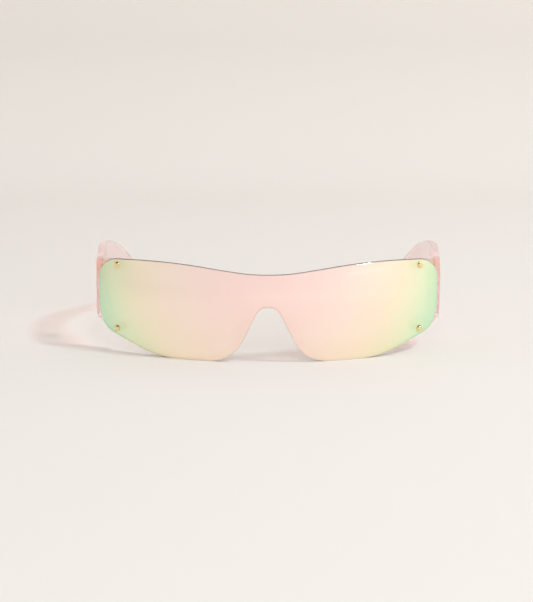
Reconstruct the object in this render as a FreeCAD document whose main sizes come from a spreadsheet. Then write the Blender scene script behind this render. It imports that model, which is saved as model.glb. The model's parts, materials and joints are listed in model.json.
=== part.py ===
"""Rimless shield sunglasses: a mirrored one-piece lens on clear endpieces, with folding temples.

Frame: millimetres, +X to the wearer's left, +Y towards the ears, +Z up.
The origin is under the middle of the glasses, on the surface that they stand on.
"""
import FreeCAD, Part
import math
import os

import Sketcher

Vector = FreeCAD.Vector

# Driving sizes in millimetres, with angles in degrees and shares of the lens's half width
# where the name says so.
SIZES = {
    # The lens: a spherical shell cut to the outline of the shield.
    "lens_radius": 100.0,
    "lens_thickness": 2.0,
    "lens_width": 142.8,
    "lens_centre_height": 20.0,
    "bridge_height": 36.4,
    "bridge_half_flat": 7.0,
    "bridge_radius": 95.0,
    "brow_rise": 4.4,
    "brow_place_share": 0.591,
    "brow_radius": 160.0,
    "corner_drop": 2.4,
    "corner_radius": 8.7,
    "cheek_height": 9.4,
    "cheek_inset": 2.8,
    "cheek_radius": 8.0,
    "side_rise": 7.6,
    "side_lean": 0.25,
    "side_radius": 18.0,
    "lobe_outer_place_share": 0.639,
    "lobe_outer_radius": 39.0,
    "lobe_inner_place": 15.9,
    "lobe_inner_radius": 15.0,
    "flank_place": 10.5,
    "flank_height": 9.0,
    "flank_radius": 20.0,
    "notch_height": 23.2,
    "notch_half_flat": 3.55,
    "notch_radius": 5.2,
    # The studs that hold the lens, with their bushes and nuts.
    "stud_inset": 8.2,
    "stud_drop": 1.5,
    "stud_lift": 0.8,
    "stud_shank_radius": 0.7,
    "stud_head_radius": 1.3,
    "stud_head_height": 0.95,
    "stud_dome_radius": 0.8,
    "stud_tail": 0.4,
    "bush_wall": 0.35,
    "nut_across_flats": 2.6,
    "nut_height": 1.2,
    # The endpieces: a flange behind the lens and an arm back to the hinge.
    "flange_thickness": 2.0,
    "flange_overhang": 1.5,
    "lug_reach": 3.2,
    "lug_half_height": 2.7,
    "lug_crest": 1.7,
    "lug_radius": 1.4,
    "web_inset": 5.0,
    "web_radius": 3.0,
    "flange_corner_radius": 1.4,
    "flange_cheek_radius": 10.0,
    "arm_thickness": 3.2,
    "arm_top_drop": 0.8,
    "arm_lift": 1.8,
    "arm_edge_radius": 1.0,
    # The hinges: three knuckles on a screw, with leaves let into the plastic.
    "hinge_setback": 0.3,
    "hinge_top_drop": 1.8,
    "knuckle_radius": 1.3,
    "knuckle_height": 2.7,
    "middle_knuckle_height": 2.9,
    "leaf_thickness": 0.9,
    "leaf_inset": 0.1,
    "leaf_corner_radius": 0.8,
    "front_leaf_length": 5.4,
    "temple_leaf_length": 9.0,
    "screw_radius": 0.7,
    "screw_head_radius": 1.15,
    "screw_head_height": 0.6,
    "screw_edge_radius": 0.25,
    "screw_slot_width": 0.35,
    "screw_slot_depth": 0.3,
    # The temples: tall at the hinge, arched below, bent down and in to the tips.
    "temple_reach": 109.0,
    "temple_rise": 3.4,
    "temple_bend_place": 44.0,
    "temple_bend_radius": 90.0,
    "temple_waist_depth": 16.0,
    "temple_waist_place": 47.0,
    "temple_waist_radius": 40.0,
    "temple_arch_depth": 13.1,
    "temple_arch_place": 21.0,
    "temple_arch_radius": 25.0,
    "tip_height": 7.0,
    "tip_rest_length": 9.5,
    "tip_rest_radius": 15.0,
    "tip_radius": 3.0,
    "temple_bow": 2.0,
    "temple_bow_place": 34.0,
    "temple_bow_radius": 140.0,
    "temple_toe_in": 13.7,
    "temple_thickness": 3.2,
    "tip_thickness": 2.8,
    "temple_edge_radius": 0.8,
    # The nose pads: thin clear wings bonded behind the flanks of the notch.
    "pad_length": 13.0,
    "pad_reach": 9.0,
    "pad_thickness": 1.8,
    "pad_corner_radius": 3.5,
    "pad_edge_radius": 0.6,
    "pad_height": 11.5,
    "pad_offset": 1.05,
    "pad_splay_degrees": 28.0,
    # Clearances, and the length by which a cutting tool overruns what it cuts.
    "seat_gap": 0.04,
    "fit_gap": 0.05,
    "running_gap": 0.05,
    "joint_gap": 0.15,
    "swing_gap": 0.3,
    "overrun": 2.0,
}

# A face whose unit normal has at least this part along an axis is taken to look along that axis.
FACING_SHARE = 0.75

# Two rounded corners take at most this part of the straight side between them.
ROOM_SHARE = 0.96

# Places that follow from the driving sizes.
PLACES = {
    "lens_half_width": "Dim.lens_width / 2",
    "brow_x": "Loc.lens_half_width * Dim.brow_place_share",
    "lobe_outer_x": "Loc.lens_half_width * Dim.lobe_outer_place_share",
    "brow_height": "Dim.bridge_height + Dim.brow_rise",
    "corner_height": "Loc.brow_height - Dim.corner_drop",
    "lens_inner_radius": "Dim.lens_radius - Dim.lens_thickness",
    "seat_radius": "Loc.lens_inner_radius - Dim.seat_gap",
    "flange_inner_radius": "Loc.seat_radius - Dim.flange_thickness",
    "stud_x": "Loc.lens_half_width - Dim.stud_inset",
    "upper_stud_z": "Loc.corner_height - Dim.stud_drop",
    "lower_stud_z": "Dim.cheek_height + Dim.stud_lift",
    "bush_inner_radius": "Dim.stud_shank_radius + Dim.fit_gap",
    "bush_radius": "Loc.bush_inner_radius + Dim.bush_wall",
    "lens_hole_radius": "Loc.bush_radius + Dim.fit_gap",
    "outer_x": "Loc.lens_half_width + Dim.flange_overhang",
    "inner_x": "Loc.outer_x - Dim.arm_thickness",
    "arm_top": "Loc.corner_height - Dim.arm_top_drop",
    "arm_bottom": "Loc.lower_stud_z + Dim.arm_lift",
    "flange_reach": "max(Loc.arm_top - Dim.lens_centre_height; Dim.lens_centre_height - Dim.cheek_height)",
    "flange_back": "sqrt(Loc.flange_inner_radius ^ 2 - Loc.outer_x ^ 2 - Loc.flange_reach ^ 2)",
    "hinge_depth": "Dim.lens_radius - Loc.flange_back + Dim.hinge_setback",
    "front_y": "-(Loc.hinge_depth + Dim.temple_reach) / 2",
    "centre_y": "Loc.front_y + Dim.lens_radius",
    "hinge_y": "Loc.front_y + Loc.hinge_depth",
    "leaf_x": "Loc.inner_x",
    "hinge_x": "Loc.leaf_x + Dim.leaf_thickness + Dim.leaf_inset - Dim.knuckle_radius",
    "knuckle_top": "Loc.arm_top - Dim.hinge_top_drop",
    "upper_knuckle_base": "Loc.knuckle_top - Dim.knuckle_height",
    "middle_knuckle_top": "Loc.upper_knuckle_base - Dim.running_gap",
    "middle_knuckle_base": "Loc.middle_knuckle_top - Dim.middle_knuckle_height",
    "lower_knuckle_top": "Loc.middle_knuckle_base - Dim.running_gap",
    "knuckle_base": "Loc.lower_knuckle_top - Dim.knuckle_height",
    "relief_radius": "Dim.knuckle_radius + Dim.swing_gap",
    "temple_front_y": "Loc.hinge_y + Dim.joint_gap",
    "tip_y": "Loc.hinge_y + Dim.temple_reach",
    "bend_height": "Loc.arm_top + Dim.temple_rise",
}


def make_sheet(doc, name, rows):
    """Fill a sheet with one named value a row: its name in column A and the value in column B."""
    sheet = doc.addObject("Spreadsheet::Sheet", name)
    for row, (alias, value) in enumerate(rows.items(), start=1):
        sheet.set(f"A{row}", alias)
        sheet.set(f"B{row}", value)
        sheet.setAlias(f"B{row}", alias)
    doc.recompute()
    return sheet


doc = FreeCAD.newDocument("ShieldSunglasses")
make_sheet(doc, "Dim", {alias: str(value) for alias, value in SIZES.items()})
places = make_sheet(doc, "Loc", {alias: "=" + formula for alias, formula in PLACES.items()})


def number(expression):
    """Return the value of an expression of sheet names."""
    return float(places.evalExpression(expression))


def bind(item, **expressions):
    """Bind an object's properties to expressions; a double underscore stands for a dot."""
    for path, expression in expressions.items():
        item.setExpression(path.replace("__", "."), expression)


def new_body(name):
    """Add an empty body."""
    return doc.addObject("PartDesign::Body", name)


def new_sketch(body, name, role, offset="0"):
    """Add a sketch on one of the body's own origin planes, lifted along its normal."""
    sketch = body.newObject("Sketcher::SketchObject", name)
    plane = next(item for item in body.Origin.OriginFeatures if item.Role == role)
    sketch.AttachmentSupport = [(plane, "")]
    sketch.MapMode = "FlatFace"
    bind(sketch, AttachmentOffset__Base__z=offset)
    return sketch


def fix(sketch, constraint, expression):
    """Add a dimension to a sketch and bind it to an expression."""
    index = sketch.addConstraint(constraint)
    sketch.setExpression(f"Constraints[{index}]", expression)


def fix_point(sketch, geometry, position, across, up):
    """Bind both coordinates of a point in a sketch."""
    fix(sketch, Sketcher.Constraint("DistanceX", geometry, position, number(across)), across)
    fix(sketch, Sketcher.Constraint("DistanceY", geometry, position, number(up)), up)


def draw_circle(sketch, across, up, radius):
    """Draw a circle with a bound centre and radius."""
    centre = Vector(number(across), number(up), 0)
    index = sketch.addGeometry(Part.Circle(centre, Vector(0, 0, 1), number(radius)))
    fix_point(sketch, index, 3, across, up)
    fix(sketch, Sketcher.Constraint("Radius", index, number(radius)), radius)


def half_angle(before, corner, after):
    """Return half of the angle between the two sides that meet at a corner."""
    return (before - corner).getAngle(after - corner) / 2


def corner_arc(before, corner, after, radius):
    """Return the start, middle and end of the arc that rounds a corner between two straight sides."""
    back = (before - corner).normalize()
    ahead = (after - corner).normalize()
    half = half_angle(before, corner, after)
    trim = radius / math.tan(half)
    bisector = (back + ahead).normalize()
    middle = corner + bisector * (radius / math.sin(half) - radius)
    return corner + back * trim, middle, corner + ahead * trim


def room_shares(points, radii):
    """Return the share of each corner's radius that its two sides leave room for: 1 where it fits."""
    count = len(points)
    trims = [radius / math.tan(half_angle(points[index - 1], points[index], points[(index + 1) % count]))
             for index, radius in enumerate(radii)]
    shares = [1.0] * count
    for index in range(count):
        taken = trims[index - 1] + trims[index]
        room = ROOM_SHARE * (points[index] - points[index - 1]).Length
        if taken > room:
            shares[index - 1] = min(shares[index - 1], room / taken)
            shares[index] = min(shares[index], room / taken)
    return shares


def draw_outline(sketch, corners):
    """Draw a closed outline of straight sides, with each corner sharp or rounded by a tangent arc.

    A corner is (across, up) or (across, up, radius), all of them expressions of sheet names.
    Guide lines join the bound corners; the sides lie on them and the arcs are tangent to the sides.
    An arc is limited to the room that its two sides have.
    """
    points = [Vector(number(corner[0]), number(corner[1]), 0) for corner in corners]
    wanted = [number(corner[2]) if len(corner) > 2 else 0 for corner in corners]
    shares = room_shares(points, wanted)
    radii = [radius * share for radius, share in zip(wanted, shares)]
    following = [(index + 1) % len(corners) for index in range(len(corners))]
    arcs = [corner_arc(points[index - 1], points[index], points[following[index]], radius)
            for index, radius in enumerate(radii)]
    guides = [sketch.addGeometry(Part.LineSegment(points[index], points[after]), True)
              for index, after in enumerate(following)]
    sides = [sketch.addGeometry(Part.LineSegment(arcs[index][2], arcs[after][0]))
             for index, after in enumerate(following)]
    for index, corner in enumerate(corners):
        sketch.addConstraint(Sketcher.Constraint("Coincident", guides[index - 1], 2, guides[index], 1))
        fix_point(sketch, guides[index], 1, corner[0], corner[1])
        if not radii[index]:
            sketch.addConstraint([
                Sketcher.Constraint("Coincident", sides[index - 1], 2, guides[index], 1),
                Sketcher.Constraint("Coincident", sides[index], 1, guides[index], 1),
            ])
            continue
        arc = sketch.addGeometry(Part.Arc(*arcs[index]))
        turn = (points[index] - points[index - 1]).cross(points[following[index]] - points[index])
        first, last = (1, 2) if turn.z > 0 else (2, 1)
        sketch.addConstraint([
            Sketcher.Constraint("PointOnObject", sides[index - 1], 2, guides[index - 1]),
            Sketcher.Constraint("PointOnObject", sides[index], 1, guides[index]),
            Sketcher.Constraint("Tangent", sides[index - 1], 2, arc, first),
            Sketcher.Constraint("Tangent", arc, last, sides[index], 1),
        ])
        fix(sketch, Sketcher.Constraint("Radius", arc, radii[index]), f"({corner[2]}) * {shares[index]}")


def add_pad(body, sketch, length, backwards=False):
    """Pad a sketch along its plane's normal, or against it."""
    pad = body.newObject("PartDesign::Pad", sketch.Name + "Pad")
    pad.Profile = sketch
    pad.Reversed = backwards
    bind(pad, Length=length)
    return pad


def add_through_cut(body, sketch):
    """Cut a sketch right through the body, both ways."""
    doc.recompute()
    before = body.Shape.Volume
    cut = body.newObject("PartDesign::Pocket", sketch.Name + "Cut")
    cut.Profile = sketch
    cut.Type = "ThroughAll"
    cut.Midplane = True
    doc.recompute()
    if body.Shape.Volume >= before:
        raise RuntimeError(f"{cut.Name} cuts nothing")
    return cut


def add_revolution(body, sketch):
    """Turn a sketch once round its upright axis."""
    turn = body.newObject("PartDesign::Revolution", sketch.Name + "Turn")
    turn.Profile = sketch
    turn.ReferenceAxis = (sketch, ["V_Axis"])
    turn.Angle = 360
    return turn


def make_sphere(name, radius):
    """Make a ball about the centre of the lens."""
    ball = doc.addObject("Part::Sphere", name)
    bind(ball, Radius=radius, Placement__Base__y="Loc.centre_y", Placement__Base__z="Dim.lens_centre_height")
    return ball


def make_cylinder(name, radius, height):
    """Make an upright cylinder, to be placed by the caller."""
    cylinder = doc.addObject("Part::Cylinder", name)
    bind(cylinder, Radius=radius, Height=height)
    return cylinder


def combine(kind, name, first, second):
    """Join two shapes with a boolean feature: Cut, Common or Fuse."""
    result = doc.addObject("Part::" + kind, name)
    result.Base = first
    result.Tool = second
    return result


def fuse_all(name, shapes):
    """Fuse many shapes into one."""
    result = doc.addObject("Part::MultiFuse", name)
    result.Shapes = shapes
    return result


def mirror(name, source):
    """Make the right piece as the mirror image of the left one."""
    copy = doc.addObject("Part::Mirroring", name)
    copy.Source = source
    copy.Base = Vector(0, 0, 0)
    copy.Normal = Vector(1, 0, 0)
    return copy


def radial_placement(across, up, radius):
    """Return a placement whose +Z points out of the lens, at a radius behind a point of its front.

    Args:
        across: the point's x, as a number.
        up: the point's z, as a number.
        radius: distance from the centre of the lens, as a number.
    """
    rise = up - number("Dim.lens_centre_height")
    ahead = math.sqrt(number("Dim.lens_radius") ** 2 - across ** 2 - rise ** 2)
    outward = Vector(across, -ahead, rise).normalize()
    centre = Vector(0, number("Loc.centre_y"), number("Dim.lens_centre_height"))
    return FreeCAD.Placement(centre + outward * radius, FreeCAD.Rotation(Vector(0, 0, 1), outward))


def stud_places():
    """Return the x and z of the left side's two studs, by name."""
    across = number("Loc.stud_x")
    return {"upper": (across, number("Loc.upper_stud_z")), "lower": (across, number("Loc.lower_stud_z"))}


def lens_corners():
    """Return the outline of the shield: the left half from the bridge round to the notch, mirrored."""
    half = [
        ("Dim.bridge_half_flat", "Dim.bridge_height", "Dim.bridge_radius"),
        ("Loc.brow_x", "Loc.brow_height", "Dim.brow_radius"),
        ("Loc.lens_half_width", "Loc.corner_height", "Dim.corner_radius"),
        ("Loc.lens_half_width - Dim.side_lean", "Dim.cheek_height + Dim.side_rise", "Dim.side_radius"),
        ("Loc.lens_half_width - Dim.cheek_inset", "Dim.cheek_height", "Dim.cheek_radius"),
        ("Loc.lobe_outer_x", "0", "Dim.lobe_outer_radius"),
        ("Dim.lobe_inner_place", "0", "Dim.lobe_inner_radius"),
        ("Dim.flank_place", "Dim.flank_height", "Dim.flank_radius"),
        ("Dim.notch_half_flat", "Dim.notch_height", "Dim.notch_radius"),
    ]
    return half + [(f"-({across})", up, radius) for across, up, radius in reversed(half)]


def make_lens():
    """Make the shield: a spherical shell cut to its outline, with four radial stud holes."""
    body = new_body("LensBlank")
    sketch = new_sketch(body, "LensOutline", "XZ_Plane", "-(Loc.front_y - Dim.overrun)")
    draw_outline(sketch, lens_corners())
    add_pad(body, sketch, "Dim.lens_radius + Dim.overrun", backwards=True)
    outer = make_sphere("LensFront", "Dim.lens_radius")
    inner = make_sphere("LensBack", "Loc.lens_inner_radius")
    shell = combine("Cut", "LensShell", outer, inner)
    blank = combine("Common", "LensCut", shell, body)
    holes = []
    for across, up in stud_places().values():
        for side in (1, -1):
            hole = make_cylinder(f"LensHole{len(holes)}", "Loc.lens_hole_radius",
                                 "Dim.lens_thickness + 2 * Dim.overrun")
            start = number("Loc.lens_inner_radius - Dim.overrun")
            hole.Placement = radial_placement(side * across, up, start)
            holes.append(hole)
    return combine("Cut", "shield_lens", blank, fuse_all("LensHoles", holes))


def make_stud(name, across, up):
    """Make a domed stud: a round head on the lens and a shank back to its nut."""
    body = new_body(name)
    sketch = new_sketch(body, name + "Profile", "XZ_Plane")
    tail = "-(Dim.lens_radius - Loc.flange_inner_radius + Dim.nut_height + Dim.stud_tail)"
    draw_outline(sketch, [
        ("0", tail),
        ("Dim.stud_shank_radius", tail),
        ("Dim.stud_shank_radius", "Dim.seat_gap"),
        ("Dim.stud_head_radius", "Dim.seat_gap"),
        ("Dim.stud_head_radius", "Dim.seat_gap + Dim.stud_head_height", "Dim.stud_dome_radius"),
        ("0", "Dim.seat_gap + Dim.stud_head_height"),
    ])
    add_revolution(body, sketch)
    body.Placement = radial_placement(across, up, number("Dim.lens_radius"))
    return body


def make_bush(name, across, up):
    """Make the clear sleeve between a stud's shank and the lens."""
    body = new_body(name)
    sketch = new_sketch(body, name + "Profile", "XZ_Plane")
    draw_outline(sketch, [
        ("Loc.bush_inner_radius", "-Dim.lens_thickness"),
        ("Loc.bush_radius", "-Dim.lens_thickness"),
        ("Loc.bush_radius", "0"),
        ("Loc.bush_inner_radius", "0"),
    ])
    add_revolution(body, sketch)
    body.Placement = radial_placement(across, up, number("Dim.lens_radius"))
    return body


def make_nut(name, across, up):
    """Make the hexagon nut that draws a stud against the back of the flange."""
    blank = doc.addObject("Part::Prism", name + "Blank")
    blank.Polygon = 6
    bind(blank, Circumradius="Dim.nut_across_flats / sqrt(3)", Height="Dim.nut_height")
    base_radius = number("Loc.flange_inner_radius - Dim.seat_gap - Dim.nut_height")
    blank.Placement = radial_placement(across, up, base_radius)
    bore = make_cylinder(name + "Bore", "Loc.bush_inner_radius", "Dim.nut_height + 2 * Dim.overrun")
    bore.Placement = radial_placement(across, up, base_radius - number("Dim.overrun"))
    return combine("Cut", name, blank, bore)


def flange_corners():
    """Return the outline of an endpiece's flange: two lugs on a web beside the edge of the lens."""
    lug_x = "Loc.stud_x - Dim.lug_reach"
    web_x = "Loc.lens_half_width - Dim.web_inset"
    return [
        (lug_x, "Loc.upper_stud_z + Dim.lug_crest", "Dim.lug_radius"),
        (lug_x, "Loc.upper_stud_z - Dim.lug_half_height", "Dim.lug_radius"),
        (web_x, "Loc.upper_stud_z - Dim.lug_half_height - Dim.lug_reach / 2", "Dim.web_radius"),
        (web_x, "Loc.lower_stud_z + Dim.lug_half_height + Dim.lug_reach / 2", "Dim.web_radius"),
        (lug_x, "Loc.lower_stud_z + Dim.lug_half_height", "Dim.lug_radius"),
        (lug_x, "Loc.lower_stud_z - Dim.lug_half_height", "Dim.lug_radius"),
        ("Loc.outer_x", "Dim.cheek_height", "Dim.flange_cheek_radius"),
        ("Loc.outer_x", "Loc.arm_top", "Dim.flange_corner_radius"),
    ]


def make_endpiece():
    """Make the left endpiece: flange and arm, seated on the back of the lens, let out for the hinge."""
    flange = new_body("FlangeBlank")
    sketch = new_sketch(flange, "FlangeOutline", "XZ_Plane", "-(Loc.front_y)")
    draw_outline(sketch, flange_corners())
    add_pad(flange, sketch, "Dim.lens_radius", backwards=True)
    arm = new_body("ArmBlank")
    arm_sketch = new_sketch(arm, "ArmOutline", "XZ_Plane", "-(Loc.front_y)")
    draw_outline(arm_sketch, [
        ("Loc.inner_x", "Loc.arm_bottom", "Dim.arm_edge_radius"),
        ("Loc.outer_x", "Loc.arm_bottom", "Dim.arm_edge_radius"),
        ("Loc.outer_x", "Loc.arm_top", "Dim.arm_edge_radius"),
        ("Loc.inner_x", "Loc.arm_top", "Dim.arm_edge_radius"),
    ])
    add_pad(arm, arm_sketch, "Loc.hinge_y - Dim.joint_gap - Loc.front_y", backwards=True)
    seat = make_sphere("EndpieceSeat", "Loc.seat_radius")
    back = make_sphere("FlangeBack", "Loc.flange_inner_radius")
    plate = combine("Cut", "FlangePlate", flange, back)
    solid = combine("Common", "EndpieceSolid", seat, combine("Fuse", "EndpieceBlank", plate, arm))
    tools = hinge_tools("Endpiece", "Loc.hinge_y - Dim.front_leaf_length - Dim.fit_gap", "Loc.hinge_y")
    for name, (across, up) in stud_places().items():
        hole = make_cylinder(f"EndpieceHole{name}", "Loc.bush_inner_radius",
                             "Dim.flange_thickness + 2 * Dim.overrun")
        hole.Placement = radial_placement(across, up, number("Loc.flange_inner_radius - Dim.overrun"))
        tools.append(hole)
    return combine("Cut", "left_endpiece", solid, fuse_all("EndpieceTools", tools))


def hinge_tools(name, start, end):
    """Return what the hinge takes out of a plastic piece: the leaf's pocket and room for the knuckles.

    Args:
        name: start of the tools' names.
        start: expression for the pocket's front end.
        end: expression for its back end.
    """
    pocket = doc.addObject("Part::Box", name + "LeafPocket")
    bind(pocket,
         Length="Dim.overrun + Dim.leaf_thickness + Dim.fit_gap",
         Width=f"({end}) - ({start})",
         Height="Loc.knuckle_top - Loc.knuckle_base + 2 * Dim.fit_gap",
         Placement__Base__x="Loc.leaf_x - Dim.overrun",
         Placement__Base__y=start,
         Placement__Base__z="Loc.knuckle_base - Dim.fit_gap")
    relief = make_cylinder(name + "KnuckleRelief", "Loc.relief_radius",
                           "Loc.arm_top - Loc.knuckle_base + 2 * Dim.overrun")
    bind(relief,
         Placement__Base__x="Loc.hinge_x",
         Placement__Base__y="Loc.hinge_y",
         Placement__Base__z="Loc.knuckle_base - Dim.overrun")
    return [pocket, relief]


def add_knuckle(body, name, base, height):
    """Add one knuckle of a hinge leaf, round the axis of the screw."""
    sketch = new_sketch(body, name, "XY_Plane", base)
    draw_circle(sketch, "Loc.hinge_x", "Loc.hinge_y", "Dim.knuckle_radius")
    add_pad(body, sketch, height)


def bore_knuckles(body, name):
    """Bore a hinge leaf's knuckles for the screw."""
    sketch = new_sketch(body, name, "XY_Plane", "Loc.knuckle_base")
    draw_circle(sketch, "Loc.hinge_x", "Loc.hinge_y", "Dim.screw_radius + Dim.running_gap")
    add_through_cut(body, sketch)


def make_front_leaf():
    """Make the hinge's front leaf: a plate in the endpiece with an upper and a lower knuckle."""
    body = new_body("left_hinge_front_leaf")
    sketch = new_sketch(body, "FrontLeafPlate", "YZ_Plane", "Loc.leaf_x")
    front = "Loc.hinge_y - Dim.front_leaf_length"
    step = "Loc.hinge_y - Loc.relief_radius"
    draw_outline(sketch, [
        (front, "Loc.knuckle_base", "Dim.leaf_corner_radius"),
        ("Loc.hinge_y", "Loc.knuckle_base"),
        ("Loc.hinge_y", "Loc.lower_knuckle_top"),
        (step, "Loc.lower_knuckle_top"),
        (step, "Loc.upper_knuckle_base"),
        ("Loc.hinge_y", "Loc.upper_knuckle_base"),
        ("Loc.hinge_y", "Loc.knuckle_top"),
        (front, "Loc.knuckle_top", "Dim.leaf_corner_radius"),
    ])
    add_pad(body, sketch, "Dim.leaf_thickness")
    add_knuckle(body, "FrontLowerKnuckle", "Loc.knuckle_base", "Dim.knuckle_height")
    add_knuckle(body, "FrontUpperKnuckle", "Loc.upper_knuckle_base", "Dim.knuckle_height")
    bore_knuckles(body, "FrontLeafBore")
    return body


def make_temple_leaf():
    """Make the hinge's rear leaf: a plate in the temple with the middle knuckle."""
    body = new_body("left_hinge_temple_leaf")
    sketch = new_sketch(body, "TempleLeafPlate", "YZ_Plane", "Loc.leaf_x")
    back = "Loc.hinge_y + Dim.temple_leaf_length"
    step = "Loc.hinge_y + Loc.relief_radius"
    draw_outline(sketch, [
        (back, "Loc.knuckle_base", "Dim.leaf_corner_radius"),
        (back, "Loc.knuckle_top", "Dim.leaf_corner_radius"),
        (step, "Loc.knuckle_top"),
        (step, "Loc.middle_knuckle_top"),
        ("Loc.hinge_y", "Loc.middle_knuckle_top"),
        ("Loc.hinge_y", "Loc.middle_knuckle_base"),
        (step, "Loc.middle_knuckle_base"),
        (step, "Loc.knuckle_base"),
    ])
    add_pad(body, sketch, "Dim.leaf_thickness")
    add_knuckle(body, "TempleKnuckle", "Loc.middle_knuckle_base", "Dim.middle_knuckle_height")
    bore_knuckles(body, "TempleLeafBore")
    return body


def make_hinge_screw():
    """Make the hinge's slotted screw, which hangs from its head on the upper knuckle."""
    body = new_body("left_hinge_screw")
    sketch = new_sketch(body, "ScrewProfile", "XZ_Plane")
    foot = "-(Loc.knuckle_top - Loc.knuckle_base)"
    head_top = "Dim.seat_gap + Dim.screw_head_height"
    draw_outline(sketch, [
        ("0", foot),
        ("Dim.screw_radius", foot),
        ("Dim.screw_radius", "Dim.seat_gap"),
        ("Dim.screw_head_radius", "Dim.seat_gap"),
        ("Dim.screw_head_radius", head_top, "Dim.screw_edge_radius"),
        ("0", head_top),
    ])
    add_revolution(body, sketch)
    slot = new_sketch(body, "ScrewSlot", "XY_Plane", head_top)
    reach = "Dim.screw_head_radius + Dim.overrun"
    half = "Dim.screw_slot_width / 2"
    draw_outline(slot, [
        (f"-({reach})", f"-({half})"),
        (reach, f"-({half})"),
        (reach, half),
        (f"-({reach})", half),
    ])
    doc.recompute()
    before = body.Shape.Volume
    cut = body.newObject("PartDesign::Pocket", "ScrewSlotCut")
    cut.Profile = slot
    bind(cut, Length="Dim.screw_slot_depth")
    doc.recompute()
    if body.Shape.Volume >= before:
        raise RuntimeError("the screw has no slot")
    bind(body,
         Placement__Base__x="Loc.hinge_x",
         Placement__Base__y="Loc.hinge_y",
         Placement__Base__z="Loc.knuckle_top")
    return body


def rim_edges(shape):
    """Return the numbers of the edges where a temple's broad sides meet its rim, but not at the hinge."""
    front = number("Loc.temple_front_y")
    tolerance = number("Dim.seat_gap")
    chosen = []
    for index, edge in enumerate(shape.Edges, start=1):
        if edge.BoundBox.YMax < front + tolerance:
            continue
        middle = edge.valueAt((edge.FirstParameter + edge.LastParameter) / 2)
        sideways = []
        for face in shape.ancestorsOfType(edge, Part.Face):
            along, across = face.Surface.parameter(middle)
            sideways.append(abs(face.normalAt(along, across).x) > FACING_SHARE)
        if True in sideways and False in sideways:
            chosen.append(index)
    return chosen


def make_temple():
    """Make the left temple: its side view and its plan cut from each other, edges eased, hinge let in."""
    side = new_body("TempleSide")
    side_sketch = new_sketch(side, "TempleProfile", "YZ_Plane")
    draw_outline(side_sketch, [
        ("Loc.temple_front_y", "Loc.arm_bottom", "Dim.arm_edge_radius"),
        ("Loc.hinge_y + Dim.temple_arch_place", "Loc.arm_top - Dim.temple_arch_depth",
         "Dim.temple_arch_radius"),
        ("Loc.hinge_y + Dim.temple_waist_place", "Loc.bend_height - Dim.temple_waist_depth",
         "Dim.temple_waist_radius"),
        ("Loc.tip_y - Dim.tip_rest_length", "0", "Dim.tip_rest_radius"),
        ("Loc.tip_y", "0", "Dim.tip_radius"),
        ("Loc.tip_y", "Dim.tip_height", "Dim.tip_radius"),
        ("Loc.hinge_y + Dim.temple_bend_place", "Loc.bend_height", "Dim.temple_bend_radius"),
        ("Loc.temple_front_y", "Loc.arm_top", "Dim.arm_edge_radius"),
    ])
    add_pad(side, side_sketch, "Loc.outer_x + Dim.temple_bow + Dim.overrun")
    plan = new_body("TemplePlan")
    plan_sketch = new_sketch(plan, "TemplePlanOutline", "XY_Plane", "-Dim.overrun")
    bow_y = "Loc.hinge_y + Dim.temple_bow_place"
    tip_inner_x = "Loc.inner_x - Dim.temple_toe_in"
    back_y = "Loc.tip_y + Dim.overrun"
    draw_outline(plan_sketch, [
        ("Loc.inner_x", "Loc.temple_front_y - Dim.overrun"),
        ("Loc.inner_x + Dim.temple_thickness", "Loc.temple_front_y - Dim.overrun"),
        ("Loc.inner_x + Dim.temple_bow + Dim.temple_thickness", bow_y, "Dim.temple_bow_radius"),
        (f"{tip_inner_x} + Dim.tip_thickness", back_y),
        (tip_inner_x, back_y),
        ("Loc.inner_x + Dim.temple_bow", bow_y, "Dim.temple_bow_radius"),
    ])
    add_pad(plan, plan_sketch, "Loc.bend_height + 2 * Dim.overrun")
    blank = combine("Common", "TempleBlank", side, plan)
    doc.recompute()
    eased = doc.addObject("Part::Fillet", "TempleEased")
    eased.Base = blank
    radius = number("Dim.temple_edge_radius")
    eased.Edges = [(index, radius, radius) for index in rim_edges(blank.Shape)]
    tools = hinge_tools("Temple", "Loc.hinge_y", "Loc.hinge_y + Dim.temple_leaf_length + Dim.fit_gap")
    return combine("Cut", "left_temple", eased, fuse_all("TempleTools", tools))


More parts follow.
